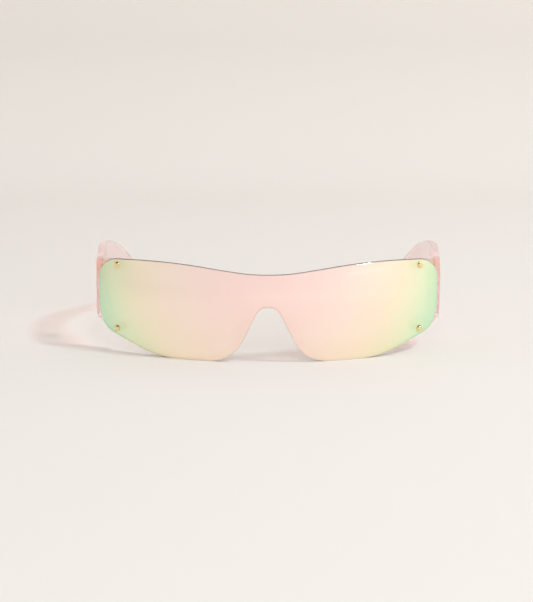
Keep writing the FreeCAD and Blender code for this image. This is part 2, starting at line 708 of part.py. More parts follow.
def make_nose_pad():
    """Make the left nose pad: a rounded wing that runs along the flank of the notch and splays back."""
    blank = new_body("PadBlank")
    sketch = new_sketch(blank, "PadOutline", "XY_Plane", "-Dim.pad_thickness / 2")
    half = "Dim.pad_length / 2"
    draw_outline(sketch, [
        (f"-({half})", "-Dim.overrun"),
        (half, "-Dim.overrun"),
        (half, "Dim.pad_reach", "Dim.pad_corner_radius"),
        (f"-({half})", "Dim.pad_reach", "Dim.pad_corner_radius"),
    ])
    pad = add_pad(blank, sketch, "Dim.pad_thickness")
    doc.recompute()
    ends = [index for index, face in enumerate(pad.Shape.Faces, start=1)
            if abs(face.normalAt(0, 0).z) > FACING_SHARE]
    eased = blank.newObject("PartDesign::Fillet", "PadEased")
    eased.Base = (pad, [f"Face{index}" for index in ends])
    bind(eased, Radius="Dim.pad_edge_radius")
    notch = Vector(number("Dim.notch_half_flat"), 0, number("Dim.notch_height"))
    flank = Vector(number("Dim.flank_place"), 0, number("Dim.flank_height"))
    down = (flank - notch).normalize()
    away = Vector(-down.z, 0, down.x)
    splay = math.radians(number("Dim.pad_splay_degrees"))
    back = Vector(0, math.cos(splay), 0) + away * math.sin(splay)
    rise = number("Dim.pad_height") - flank.z
    across = flank.x + rise * down.x / down.z + number("Dim.pad_offset")
    up = number("Dim.pad_height")
    height = up - number("Dim.lens_centre_height")
    depth = number("Loc.centre_y") - math.sqrt(number("Loc.seat_radius") ** 2 - across ** 2 - height ** 2)
    turn = FreeCAD.Rotation(down, back, down.cross(back), "XYZ")
    blank.Placement = FreeCAD.Placement(Vector(across, depth, up), turn)
    seat = make_sphere("PadSeat", "Loc.seat_radius")
    return combine("Common", "left_nose_pad", blank, seat)


def make_nodes():
    """Make every piece and return the pieces by node name."""
    left = [make_endpiece(), make_temple(), make_front_leaf(), make_temple_leaf(), make_hinge_screw(),
            make_nose_pad()]
    for level, (across, up) in stud_places().items():
        left.append(make_stud(f"left_{level}_stud", across, up))
        left.append(make_bush(f"left_{level}_bush", across, up))
        left.append(make_nut(f"left_{level}_nut", across, up))
    right = [mirror(piece.Name.replace("left", "right", 1), piece) for piece in left]
    nodes = {}
    for piece in [make_lens()] + left + right:
        piece.Label = piece.Name
        nodes[piece.Label] = piece
    return nodes


def check(nodes):
    """Stop if an object of the document failed, or if a piece isn't one valid solid."""
    for item in doc.Objects:
        if "Invalid" in item.State or "Error" in item.State:
            raise RuntimeError(f"{item.Name} failed: {item.State}")
    for label, piece in nodes.items():
        shape = piece.Shape
        if shape.isNull() or not shape.isValid() or len(shape.Solids) != 1 or shape.Volume <= 0:
            raise RuntimeError(f"{label} isn't one valid solid")


def main():
    """Build the document and write each piece to its own file."""
    nodes = make_nodes()
    doc.recompute()
    check(nodes)
    os.makedirs("parts", exist_ok=True)
    for label, piece in nodes.items():
        piece.Shape.exportStep(f"parts/{label}.step")
        box = piece.Shape.BoundBox
        print(f"{label}: {piece.Shape.Volume:.2f} mm3, "
              f"x {box.XMin:.2f} to {box.XMax:.2f}, y {box.YMin:.2f} to {box.YMax:.2f}, "
              f"z {box.ZMin:.2f} to {box.ZMax:.2f}")


main()
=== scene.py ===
"""Looks of the rimless shield sunglasses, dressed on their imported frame.

Frame: +X to the wearer's left, +Y towards the ears, +Z up. Sizes are in millimetres until a mesh
is made, and every finished mesh is in metres. Left pieces are worked out and right ones mirrored.
"""

import json
import logging
import math
from dataclasses import dataclass, field
from enum import Enum
from typing import Callable, NamedTuple

import bmesh
import bpy
import numpy as np
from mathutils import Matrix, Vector


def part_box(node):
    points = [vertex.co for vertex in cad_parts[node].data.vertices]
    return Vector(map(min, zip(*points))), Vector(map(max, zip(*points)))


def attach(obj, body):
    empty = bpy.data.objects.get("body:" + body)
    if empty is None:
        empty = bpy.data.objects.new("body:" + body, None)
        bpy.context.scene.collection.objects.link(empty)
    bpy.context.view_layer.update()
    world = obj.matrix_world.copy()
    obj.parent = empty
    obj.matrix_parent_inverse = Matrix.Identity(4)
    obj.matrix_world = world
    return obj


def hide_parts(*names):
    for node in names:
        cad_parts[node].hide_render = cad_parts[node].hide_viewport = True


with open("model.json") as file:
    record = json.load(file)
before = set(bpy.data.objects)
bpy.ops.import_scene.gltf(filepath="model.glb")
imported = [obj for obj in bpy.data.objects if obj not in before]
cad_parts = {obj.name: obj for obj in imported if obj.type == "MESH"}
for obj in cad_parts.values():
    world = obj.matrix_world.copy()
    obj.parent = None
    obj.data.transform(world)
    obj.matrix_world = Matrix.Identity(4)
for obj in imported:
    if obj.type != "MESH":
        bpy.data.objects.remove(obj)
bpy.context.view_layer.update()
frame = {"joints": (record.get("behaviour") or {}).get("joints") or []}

LOG = logging.getLogger("sunglasses")
MM = 0.001
WELD = 0.002
ARC_STEP = math.radians(9)
SHARP_ANGLE = math.radians(32)
PHOTO_HEIGHT = 602

# Sizes that several pieces share, in millimetres
LENS_THICKNESS = 2.0
FLANGE_THICKNESS = 2.0
SEAT_GAP = 0.04
FIT_GAP = 0.05
ARM_INNER = 69.7
ARM_OUTER = 72.9
ARM_FOOT = 12.0
ARM_HEAD = 37.6
HINGE_GAP = 0.15

# Types
Depth = Callable[[np.ndarray, np.ndarray], np.ndarray]
Pair = tuple[float, float]
Triple = tuple[float, float, float]
Piece = bpy.types.Object
Tree = bpy.types.NodeTree
Node = bpy.types.Node
Socket = bpy.types.NodeSocket


class Side(Enum):
    """The wearer's two sides; the value is the sign of X."""

    LEFT = 1
    RIGHT = -1

    @property
    def word(self) -> str:
        """The side's name, as the nodes are named."""
        return self.name.lower()


class Level(Enum):
    """The two studs of a side."""

    UPPER = "upper"
    LOWER = "lower"


class Joining(Enum):
    """How one solid is combined with another."""

    CUT = "DIFFERENCE"
    FUSE = "UNION"


class Corner(NamedTuple):
    """A corner of an outline: its name, its place and the radius that rounds it."""

    name: str
    across: float
    up: float
    radius: float


class Sheet(NamedTuple):
    """A grid of points, rows by columns by three, and the number of the finish that it wears."""

    points: np.ndarray
    finish: int = 0


# Materials


def linear(colour: str) -> tuple[float, ...]:
    """Turn an sRGB hex colour into linear red, green, blue and an alpha of 1, by the sRGB curve.

    Args:
        colour: six hex digits after a hash sign.

    Returns:
        The linear colour, as a shader socket takes it.
    """
    shares = np.array([int(colour[start:start + 2], 16) / 255 for start in (1, 3, 5)])
    light = np.where(shares <= 0.04045, shares / 12.92, ((shares + 0.055) / 1.055) ** 2.4)
    return (*light.tolist(), 1.0)


def add_node(tree: Tree, kind: str, inputs: dict | None = None, **settings) -> Node:
    """Add a node with its settings, and set or link its inputs.

    Args:
        tree: the node tree.
        kind: the node's type, without the ShaderNode that all of them start with.
        inputs: values by input name or number; an output socket is linked, anything else is set.
        settings: the node's own properties.

    Returns:
        The new node.
    """
    node = tree.nodes.new("ShaderNode" + kind)
    for name, value in settings.items():
        setattr(node, name, value)
    for key, value in (inputs or {}).items():
        if isinstance(value, Socket):
            tree.links.new(value, node.inputs[key])
        else:
            node.inputs[key].default_value = value
    return node


@dataclass(frozen=True)
class Finish:
    """A finish: what the real material is called, and its node tree."""

    name: str

    def material(self) -> bpy.types.Material:
        """Make the finish's material, or find the one already made.

        Returns:
            The material.
        """
        known = bpy.data.materials.get(self.name)
        if known:
            return known
        material = bpy.data.materials.new(self.name)
        material.use_nodes = True
        tree = material.node_tree
        tree.nodes.clear()
        output = add_node(tree, "OutputMaterial")
        place = add_node(tree, "TexCoord").outputs["Object"]
        self.dress(tree, place, output)
        return material

    def dress(self, tree: Tree, place: Socket, output: Node) -> None:
        """Lay the finish's nodes and link them to the output; each finish has its own."""
        raise NotImplementedError

    def pass_light(self, tree: Tree, shader: Node, tint: str, output: Node) -> None:
        """Link a shader to the output, and let lamps through it as a tinted shadow.

        Args:
            tree: the material's nodes.
            shader: the node that makes the surface.
            tint: the colour that one surface leaves in a lamp's light.
            output: the material's output.
        """
        clear = add_node(tree, "BsdfTransparent", {"Color": linear(tint)})
        path = add_node(tree, "LightPath")
        mixed = add_node(tree, "MixShader", {
            "Fac": path.outputs["Is Shadow Ray"], 1: shader.outputs[0], 2: clear.outputs[0]})
        tree.links.new(mixed.outputs[0], output.inputs["Surface"])


@dataclass(frozen=True)
class MirrorCoat(Finish):
    """Vacuum-deposited mirror on polycarbonate: pink in the middle, then yellow, green at the ends.

    A thin dielectric stack gives the eye a bright, smooth, tinted mirror whose tint drifts in wide
    rings towards the ends of the lens, and a faint cloudiness where it was laid down unevenly.
    """

    centre_height: float = 40.0
    reach: float = 74.0
    cloud_width: float = 14.0
    cloud_share: float = 0.05
    peel_width: float = 3.0
    peel_strength: float = 0.02
    peel_depth: float = 0.02
    haze: Pair = (0.05, 0.11)
    refraction: float = 1.58
    coat_share: float = 0.5
    coat_roughness: float = 0.03
    tints: tuple[tuple[float, str], ...] = (
        (0.0, "#ffd8d0"),
        (22.0, "#ffddd3"),
        (36.0, "#ffe5d7"),
        (52.0, "#ffeed0"),
        (60.0, "#f6f0c8"),
        (67.0, "#e2f4c6"),
        (72.0, "#cbf5ca"),
    )
    metal_share: float = 0.35
    solid_share: float = 0.80
    shadow: str = "#dcd0cd"

    def dress(self, tree: Tree, place: Socket, output: Node) -> None:
        """Tint by the distance from a point above the bridge, in the plane of the face.

        Args:
            tree: the material's nodes.
            place: where a point is on the piece, in metres.
            output: the material's output.
        """
        flat = add_node(tree, "Mapping", {
            "Vector": place,
            "Location": (0, 0, -self.centre_height / self.reach),
            "Scale": (1 / (self.reach * MM), 0, 1 / (self.reach * MM)),
        })
        ring = add_node(tree, "VectorMath", {0: flat.outputs[0]}, operation="LENGTH")
        cloud = add_node(tree, "TexNoise", {
            "Vector": place, "Scale": 1 / (self.cloud_width * MM), "Detail": 2.0, "Roughness": 0.4})
        drift = add_node(tree, "Math", {
            0: cloud.outputs["Fac"], 1: self.cloud_share, 2: ring.outputs["Value"]}, operation="MULTIPLY_ADD")
        centred = add_node(tree, "Math", {
            0: drift.outputs[0], 1: self.cloud_share / 2}, operation="SUBTRACT")
        ramp = add_node(tree, "ValToRGB", {"Fac": centred.outputs[0]})
        ramp.color_ramp.interpolation = "B_SPLINE"
        stops = ramp.color_ramp.elements
        while len(stops) < len(self.tints):
            stops.new(0.5)
        for stop, (distance, tint) in zip(stops, self.tints):
            stop.position = distance / self.reach
            stop.color = linear(tint)
        haze = add_node(tree, "MapRange", {
            "Value": cloud.outputs["Fac"], "To Min": self.haze[0], "To Max": self.haze[1]})
        peel = add_node(tree, "TexNoise", {"Vector": place, "Scale": 1 / (self.peel_width * MM)})
        bump = add_node(tree, "Bump", {
            "Height": peel.outputs["Fac"], "Strength": self.peel_strength, "Distance": self.peel_depth * MM})
        shader = add_node(tree, "BsdfPrincipled", {
            "Base Color": ramp.outputs["Color"], "Metallic": self.metal_share,
            "Roughness": haze.outputs["Result"], "Normal": bump.outputs["Normal"],
            "IOR": self.refraction, "Coat Weight": self.coat_share, "Coat Roughness": self.coat_roughness,
            "Alpha": self.solid_share})
        self.pass_light(tree, shader, self.shadow, output)


@dataclass(frozen=True)
class TintedBack(Finish):
    """Smoke-violet polycarbonate, the polished back of the lens and its ground edge.

    Dyed in the mass and more so towards the brow, it gives the eye a dark glossy sheet that lets some
    light through. The ground edge is seen along the sheet, so it looks solid, duller and darker.
    """

    upper_tint: str = "#7d6674"
    lower_tint: str = "#b0959c"
    height: float = 40.0
    smudge_width: float = 9.0
    polish: Pair = (0.03, 0.12)
    shine: float = 0.6
    solid_share: float = 0.34
    shadow: str = "#dcd0cd"

    def dress(self, tree: Tree, place: Socket, output: Node) -> None:
        """Grade the dye from the brow down, and let faint smudges vary the polish.

        Args:
            tree: the material's nodes.
            place: where a point is on the piece, in metres.
            output: the material's output.
        """
        parts = add_node(tree, "SeparateXYZ", {0: place})
        rise = add_node(tree, "MapRange", {
            "Value": parts.outputs["Z"], "From Max": self.height * MM})
        dye = add_node(tree, "Mix", {
            "Factor": rise.outputs["Result"], 6: linear(self.lower_tint), 7: linear(self.upper_tint)},
            data_type="RGBA")
        smudge = add_node(tree, "TexNoise", {
            "Vector": place, "Scale": 1 / (self.smudge_width * MM), "Detail": 4.0})
        polish = add_node(tree, "MapRange", {
            "Value": smudge.outputs["Fac"], "To Min": self.polish[0], "To Max": self.polish[1]})
        shader = add_node(tree, "BsdfPrincipled", {
            "Base Color": dye.outputs[2], "Roughness": polish.outputs["Result"],
            "Specular IOR Level": self.shine, "Alpha": self.solid_share})
        self.pass_light(tree, shader, self.shadow, output)


@dataclass(frozen=True)
class ClearMoulding(Finish):
    """A clear injection moulding, such as nylon or silicone, with its dye in the mass.

    Polished tooling gives the eye sharp glints and bent views; the dye shows where light has gone a
    long way inside, and faint flow lines from the mould vary the tone and ripple the surface.
    """

    skin: str = "#fff8f4"
    deep_skin: str = "#ffced2"
    dye: str = "#f7a8ae"
    dye_density: float = 5.0
    refraction: float = 1.3
    clear_share: float = 0.85
    solid_share: float = 0.6
    polish: Pair = (0.06, 0.14)
    flow_width: float = 5.0
    flow_stretch_shares: Triple = (1.0, 0.25, 1.0)
    ripple_strength: float = 0.15
    ripple_depth: float = 0.05
    shadow: str = "#ead0cb"

    def dress(self, tree: Tree, place: Socket, output: Node) -> None:
        """Lay glass over a dyed inside, and let lamps through as a pale tinted shadow.

        Args:
            tree: the material's nodes.
            place: where a point is on the piece, in metres.
            output: the material's output.
        """
        stretched = add_node(tree, "Mapping", {"Vector": place, "Scale": self.flow_stretch_shares})
        flow = add_node(tree, "TexNoise", {
            "Vector": stretched.outputs[0], "Scale": 1 / (self.flow_width * MM), "Detail": 3.0})
        tone = add_node(tree, "Mix", {
            "Factor": flow.outputs["Fac"], 6: linear(self.skin), 7: linear(self.deep_skin)},
            data_type="RGBA")
        polish = add_node(tree, "MapRange", {
            "Value": flow.outputs["Fac"], "To Min": self.polish[0], "To Max": self.polish[1]})
        bump = add_node(tree, "Bump", {
            "Height": flow.outputs["Fac"], "Strength": self.ripple_strength,
            "Distance": self.ripple_depth * MM})
        glass = add_node(tree, "BsdfPrincipled", {
            "Base Color": tone.outputs[2], "Roughness": polish.outputs["Result"],
            "Normal": bump.outputs["Normal"], "IOR": self.refraction,
            "Transmission Weight": self.clear_share, "Alpha": self.solid_share})
        self.pass_light(tree, glass, self.shadow, output)
        inside = add_node(tree, "VolumeAbsorption", {
            "Color": linear(self.dye), "Density": self.dye_density})
        tree.links.new(inside.outputs[0], output.inputs["Volume"])


@dataclass(frozen=True)
class GoldPlate(Finish):
    """Gold flash on turned and stamped brass: a warm, bright metal with fine polishing lines.

    Real lines are a few hundredths of a millimetre wide; they are drawn coarser, so that they show.
    """

    bright: str = "#ffe9b4"
    worn: str = "#f6d796"
    patch_width: float = 0.9
    line_width: float = 0.12
    line_stretch_shares: Triple = (1.0, 1.0, 0.15)
    line_strength: float = 0.05
    line_depth: float = 0.01
    polish: Pair = (0.10, 0.24)

    def dress(self, tree: Tree, place: Socket, output: Node) -> None:
        """Vary the plate's tone in patches, and its polish in fine lines.

        Args:
            tree: the material's nodes.
            place: where a point is on the piece, in metres.
            output: the material's output.
        """
        patch = add_node(tree, "TexNoise", {
            "Vector": place, "Scale": 1 / (self.patch_width * MM), "Detail": 3.0})
        tone = add_node(tree, "Mix", {
            "Factor": patch.outputs["Fac"], 6: linear(self.bright), 7: linear(self.worn)},
            data_type="RGBA")
        stretched = add_node(tree, "Mapping", {"Vector": place, "Scale": self.line_stretch_shares})
        lines = add_node(tree, "TexNoise", {
            "Vector": stretched.outputs[0], "Scale": 1 / (self.line_width * MM), "Detail": 2.0})
        polish = add_node(tree, "MapRange", {
            "Value": lines.outputs["Fac"], "To Min": self.polish[0], "To Max": self.polish[1]})
        bump = add_node(tree, "Bump", {
            "Height": lines.outputs["Fac"], "Strength": self.line_strength, "Distance": self.line_depth * MM})
        shader = add_node(tree, "BsdfPrincipled", {
            "Base Color": tone.outputs[2], "Metallic": 1.0, "Roughness": polish.outputs["Result"],
            "Normal": bump.outputs["Normal"]})
        tree.links.new(shader.outputs[0], output.inputs["Surface"])


@dataclass(frozen=True)
class PaperSweep(Finish):
    """Warm white background paper: matt, with a faint tooth, and open to a view from behind it.

    The tooth of real paper is finer; it is drawn coarser, so that it shows.
    """

    tone: str = "#f1eeea"
    # Painted shade: the next colour darkens the paper where the sweep turns up into the wall, fully so at the
    # height after it.
    painted_shade_tone: str = "#e4dfd9"
    painted_shade_height: float = 90.0
    tooth_width: float = 1.5
    tooth_strength: float = 0.03
    tooth_depth: float = 0.05
    roughness: float = 0.9
    shine: float = 0.1

    def dress(self, tree: Tree, place: Socket, output: Node) -> None:
        """Lay matt paper with a fine tooth, and paint shade on it where it turns up behind: darker with
        height.

        Args:
            tree: the material's nodes.
            place: where a point is on the piece, in metres.
            output: the material's output.
        """
        parts = add_node(tree, "SeparateXYZ", {0: place})
        # Painted shade: the paper's colour darkens from the floor up the wall, standing in for the lesser
        # light there.
        rise = add_node(tree, "MapRange", {
            "Value": parts.outputs["Z"], "From Max": self.painted_shade_height * MM})
        paper = add_node(tree, "Mix", {
            "Factor": rise.outputs["Result"], 6: linear(self.tone), 7: linear(self.painted_shade_tone)},
            data_type="RGBA")
        tooth = add_node(tree, "TexNoise", {"Vector": place, "Scale": 1 / (self.tooth_width * MM)})
        bump = add_node(tree, "Bump", {
            "Height": tooth.outputs["Fac"], "Strength": self.tooth_strength,
            "Distance": self.tooth_depth * MM})
        shader = add_node(tree, "BsdfPrincipled", {
            "Base Color": paper.outputs[2], "Roughness": self.roughness, "Specular IOR Level": self.shine,
            "Normal": bump.outputs["Normal"]})
        behind = add_node(tree, "NewGeometry").outputs["Backfacing"]
        nothing = add_node(tree, "BsdfTransparent")
        one_sided = add_node(tree, "MixShader", {
            0: behind, 1: shader.outputs[0], 2: nothing.outputs[0]})
        tree.links.new(one_sided.outputs[0], output.inputs["Surface"])


MIRROR = MirrorCoat("rose_mirror_coated_polycarbonate")
BACK = TintedBack("smoke_tinted_polycarbonate")
EDGE = TintedBack("ground_polycarbonate_edge", upper_tint="#523b4a", lower_tint="#8f767e", smudge_width=2.0,
                  polish=(0.3, 0.45), shine=0.15, solid_share=1.0, shadow="#6e5a5c")
PINK = ClearMoulding("clear_pink_polyamide")
NYLON = ClearMoulding("clear_natural_nylon", skin="#fefdfc", deep_skin="#fcfaf6", dye="#e8e0d0",
                      shadow="#f4f1ec")
SILICONE = ClearMoulding("clear_satin_silicone", skin="#fffefe", deep_skin="#fffbf9", dye="#f0e8e4",
                         refraction=1.18, polish=(0.12, 0.22), flow_width=2.0, shadow="#f6f2f0")
GOLD = GoldPlate("gold_plated_brass")
PAPER = PaperSweep("warm_white_paper")


# Surfaces on grids


def rounded_path(corners: list[Corner], spacing: float, closed: bool) -> tuple[np.ndarray, np.ndarray]:
    """Walk straight sides joined by tangent arcs.

    An arc of radius r that turns the path by an angle a starts r tan(a / 2) before its corner. Its
    points are its centre plus r times the normal, as the normal turns from one side's to the next's.

    Args:
        corners: the corners in order, anticlockwise where the path is closed.
        spacing: the longest step along the path.
        closed: whether the last corner joins the first.

    Returns:
        The points, and the unit normals to the right of the path, which point out of a closed one.
    """
    def between(start: np.ndarray, end: np.ndarray) -> np.ndarray:
        """Return evenly spaced points strictly between two places."""
        shares = np.linspace(0, 1, max(math.ceil(np.hypot(*(end - start)) / spacing), 1) + 1)[1:-1]
        return start + shares[:, None] * (end - start)

    places = np.array([(corner.across, corner.up) for corner in corners])
    count = len(corners)
    points: list[np.ndarray] = []
    normals: list[np.ndarray] = []
    for index, corner in enumerate(corners):
        into = places[index] - places[index - 1]
        out = places[(index + 1) % count] - places[index]
        ends = not closed and index in (0, count - 1)
        heading = math.atan2(*(out if index == 0 and ends else into)[::-1])
        turn = 0.0 if ends else math.remainder(math.atan2(*out[::-1]) - heading, math.tau)
        steps = max(math.ceil(abs(turn) / ARC_STEP), math.ceil(abs(turn) * corner.radius / spacing))
        angles = heading + turn * np.linspace(0, 1, steps + 1 if corner.radius else 1)
        outward = np.stack([np.sin(angles), -np.cos(angles)], axis=1)
        trim = corner.radius * abs(math.tan(turn / 2))
        start = places[index] - trim * np.array([math.cos(heading), math.sin(heading)])
        bend = math.copysign(corner.radius, turn) if turn else 0.0
        arc = start + bend * (outward - outward[0])
        if points:
            points.append(between(points[-1][-1], arc[0]))
            normals.append(np.repeat(outward[:1], len(points[-1]), axis=0))
        points.append(arc)
        normals.append(outward)
    if closed:
        points.append(between(points[-1][-1], points[0][0]))
        normals.append(np.repeat(normals[0][:1], len(points[-1]), axis=0))
    return np.concatenate(points), np.concatenate(normals)


def named(corners: tuple[Corner, ...], name: str) -> Corner:
    """Return the corner of an outline that has a name."""
    return next(corner for corner in corners if corner.name == name)


@dataclass
class Plate:
    """A plate with a rounded rim: an outline, and two broad faces as depths over its plane.

    The outline is split at two poles into two rails, whose points are paired by how far each has gone
    along the plate. A broad face is the grid of straight lines between paired points, at the depth
    that its function gives. The rim carries two quarter circles round the outline; the near one
    wears the near face's finish.
    """

    corners: list[Corner]
    near: Depth
    far: Depth
    rim: float
    poles: tuple[Pair, Pair]
    along: int = 0
    spacing: float = 1.5
    lanes: int = 12
    rim_steps: int = 4
    creep_share: float = 0.35
    share_digits: int = 5
    finishes: tuple[int, int, int] = (0, 0, 0)

    def rails(self) -> tuple[np.ndarray, np.ndarray]:
        """Split the outline into its two rails and pair their points.

        Returns:
            The rails, each with the points and normals of its steps side by side.
        """
        points, normals = rounded_path(self.corners, self.spacing, closed=True)
        both = np.hstack([points, normals])
        first, last = [np.argmin(np.hypot(*(points - pole).T)) for pole in self.poles]
        both = np.roll(both, -first, axis=0)
        last = (last - first) % len(both)
        rails = [both[:last + 1], np.vstack([both[:1], both[:last - 1:-1]])]
        gone = []
        for rail in rails:
            step = np.diff(rail[:, :2], axis=0)
            length = np.abs(step[:, self.along]) + self.creep_share * np.hypot(*step.T)
            gone.append(np.concatenate([[0], np.cumsum(length) / length.sum()]))
        every = np.unique(np.round(np.concatenate(gone), self.share_digits))
        lined = [np.stack([np.interp(every, way, column) for column in rail.T], axis=1)
                 for way, rail in zip(gone, rails)]
        for rail in lined:
            rail[:, 2:] /= np.hypot(*rail[:, 2:].T)[:, None]
        return lined[0], lined[1]

    def sheets(self) -> list[Sheet]:
        """Work out the plate's surfaces.

        Returns:
            The near face, the two parts of the rim and the far face, as across, up and depth.
        """
        one, two = self.rails()
        inset = [rail[:, :2] - self.rim * rail[:, 2:] for rail in (one, two)]
        share = np.linspace(0, 1, self.lanes + 1)[None, :, None]
        face = inset[0][:, None, :] * (1 - share) + inset[1][:, None, :] * share
        loop = np.vstack([one, two[::-1]])
        turn = np.linspace(0, math.pi / 2, self.rim_steps + 1)[:, None, None]
        edge = loop[None, :, :2] + self.rim * (np.sin(turn) - 1) * loop[None, :, 2:]
        drop = self.rim * (1 - np.cos(turn[..., 0]))
        rim = np.concatenate([
            np.dstack([edge, self.near(edge[..., 0], edge[..., 1]) + drop]),
            np.dstack([edge, self.far(edge[..., 0], edge[..., 1]) - drop])[::-1],
        ])
        return [
            Sheet(np.dstack([face, self.near(face[..., 0], face[..., 1])]), self.finishes[0]),
            Sheet(rim[:self.rim_steps + 1], self.finishes[0]),
            Sheet(rim[self.rim_steps:], self.finishes[1]),
            Sheet(np.dstack([face, self.far(face[..., 0], face[..., 1])]), self.finishes[2]),
        ]


def level(depth: float) -> Depth:
    """Return the depth function of a flat face."""
    return lambda across, up: np.full_like(across, depth)


def reorder(sheets: list[Sheet], axes: tuple[int, int, int]) -> list[Sheet]:
    """Put across, up and depth on the frame's axes: axes names the column for X, Y and Z."""
    return [Sheet(sheet.points[..., list(axes)], sheet.finish) for sheet in sheets]


def turned(profile: np.ndarray, steps: int,
           radius: Callable[[np.ndarray], np.ndarray] | None = None) -> Sheet:
    """Turn a profile about the Z axis: x = r cos a, y = r sin a, z = h.

    Args:
        profile: rows of radius and height.
        steps: points round the axis.
        radius: what each radius is multiplied by at an angle, for a shape that isn't round.

    Returns:
        The surface, closed on itself.
    """
    angle = np.linspace(0, math.tau, steps + 1)[None, :]
    factor = radius(angle) if radius else 1.0
    across = profile[:, :1] * factor
    height = np.broadcast_to(profile[:, 1:], across.shape if radius else (len(profile), steps + 1))
    return Sheet(np.dstack([across * np.cos(angle), across * np.sin(angle), height]))


def rod(radius: float, low: float, high: float, steps: int) -> Sheet:
    """Turn a plain rod with flat ends between two heights."""
    return turned(np.array([(0, low), (radius, low), (radius, high), (0, high)]), steps)


@dataclass(frozen=True)
class Pose:
    """A place and a direction: a local +Z that points along the axis."""

    origin: Triple
    axis: Triple = (0.0, 0.0, 1.0)

    def set(self, sheet: Sheet) -> Sheet:
        """Bring a sheet from its local frame to this pose.

        Args:
            sheet: the sheet in its local frame.

        Returns:
            The sheet in place.
        """
        up = np.array(self.axis) / np.linalg.norm(self.axis)
        level_way = np.cross((0.0, 1.0, 0.0), up)
        level_way /= np.linalg.norm(level_way)
        basis = np.stack([level_way, np.cross(up, level_way), up])
        return Sheet(sheet.points @ basis + np.array(self.origin), sheet.finish)


def make_mesh(name: str, sheets: list[Sheet], sign: int = 1) -> Piece:
    """Weld sheets into one closed mesh object.

    Args:
        name: the object's name.
        sheets: grids in millimetres whose borders meet.
        sign: the sign of X, which mirrors a left piece to the right.

    Returns:
        The object, in metres, with its faces pointing outwards.
    """
    points = np.concatenate([sheet.points.reshape(-1, 3) for sheet in sheets]) * (sign * MM, MM, MM)
    quads: list[np.ndarray] = []
    tags: list[np.ndarray] = []
    start = 0
    for sheet in sheets:
        rows, columns = sheet.points.shape[:2]
        corner = start + (np.arange(rows - 1)[:, None] * columns + np.arange(columns - 1)).ravel()
        quads.append(np.stack([corner, corner + 1, corner + columns + 1, corner + columns], axis=1))
        tags.append(np.full(len(corner), sheet.finish))
        start += rows * columns
    mesh = bpy.data.meshes.new(name)
    mesh.from_pydata(points.tolist(), [], np.concatenate(quads).tolist())
    mesh.polygons.foreach_set("material_index", np.concatenate(tags).astype(np.int32))
    work = bmesh.new()
    work.from_mesh(mesh)
    bmesh.ops.remove_doubles(work, verts=work.verts, dist=WELD * MM)
    bmesh.ops.dissolve_degenerate(work, dist=WELD * MM, edges=work.edges)
    bmesh.ops.recalc_face_normals(work, faces=work.faces)
    work.to_mesh(mesh)
    work.free()
    thing = bpy.data.objects.new(name, mesh)
    bpy.context.scene.collection.objects.link(thing)
    return thing


def read_rows(items: bpy.types.bpy_prop_collection, name: str, width: int,
              kind: type = float) -> np.ndarray:
    """Read one property of all of a mesh's vertices, corners or faces.

    Args:
        items: the vertices, corners or faces.
        name: the property.
        width: how many numbers it has.
        kind: the type of the numbers.

    Returns:
        One row for each item.
    """
    values = np.empty(len(items) * width, dtype=kind)
    items.foreach_get(name, values)
    return values.reshape(-1, width)


def combine(thing: Piece, tool: Piece, joining: Joining) -> None:
    """Cut a tool out of a thing, or fuse the two; the tool is used up.

    Args:
        thing: the object that stays, with a new mesh.
        tool: the object that is taken away or added.
        joining: which of the two is done.
    """
    step = thing.modifiers.new("combine", "BOOLEAN")
    step.operation = joining.value
    step.solver = "EXACT"
    step.object = tool
    bpy.context.view_layer.update()
    seen = thing.evaluated_get(bpy.context.evaluated_depsgraph_get())
    old = thing.data
    thing.data = bpy.data.meshes.new_from_object(seen)
    thing.modifiers.clear()
    bpy.data.meshes.remove(old)
    used = tool.data
    bpy.data.objects.remove(tool)
    bpy.data.meshes.remove(used)


def box_mesh(name: str, low: Triple, high: Triple) -> Piece:
    """Make a sharp box as a tool: four walls carried round, closed by two ends.

    Args:
        name: the object's name.
        low: its lowest corner.
        high: its highest corner.

    Returns:
        The box.
    """
    ring = np.array([low[:2], (high[0], low[1]), high[:2], (low[0], high[1]), low[:2]])
    walls = np.stack([np.column_stack([ring, np.full(len(ring), height)]) for height in (low[2], high[2])])
    ends = [walls[row][[0, 1, 3, 2]].reshape(2, 2, 3) for row in (0, 1)]
    return make_mesh(name, [Sheet(walls)] + [Sheet(end) for end in ends])


def flip(thing: Piece, side: Side) -> None:
    """Mirror a left piece's mesh where it is wanted on the right, and turn its faces back outwards.

    Args:
        thing: the left piece.
        side: the side that it is wanted on.
    """
    if side is Side.LEFT:
        return
    work = bmesh.new()
    work.from_mesh(thing.data)
    bmesh.ops.scale(work, vec=(-1, 1, 1), verts=work.verts)
    bmesh.ops.reverse_faces(work, faces=work.faces)
    work.to_mesh(thing.data)
    work.free()


def wear(mesh: bpy.types.Mesh, finishes: list[Finish]) -> None:
    """Give a mesh its finishes, in the order of the numbers on its faces."""
    for finish in finishes:
        mesh.materials.append(finish.material())


def finish_piece(thing: Piece, finishes: list[Finish], node: str, body: str) -> None:
    """Shade, dress and place a piece on its body, in place of its node.

    Args:
        thing: the finished mesh object.
        finishes: what its faces wear, in the order of their numbers, unless they wear it already.
        node: the CAD node that it stands for.
        body: the body that it rides on.
    """
    mesh = thing.data
    if not mesh.materials:
        wear(mesh, finishes)
    mesh.polygons.foreach_set("use_smooth", np.ones(len(mesh.polygons), dtype=bool))
    mesh.set_sharp_from_angle(angle=SHARP_ANGLE)
    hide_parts(node)
    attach(thing, body)
    LOG.info("%s stands for %s: %d faces", thing.name, node, len(mesh.polygons))


# The sub-assemblies


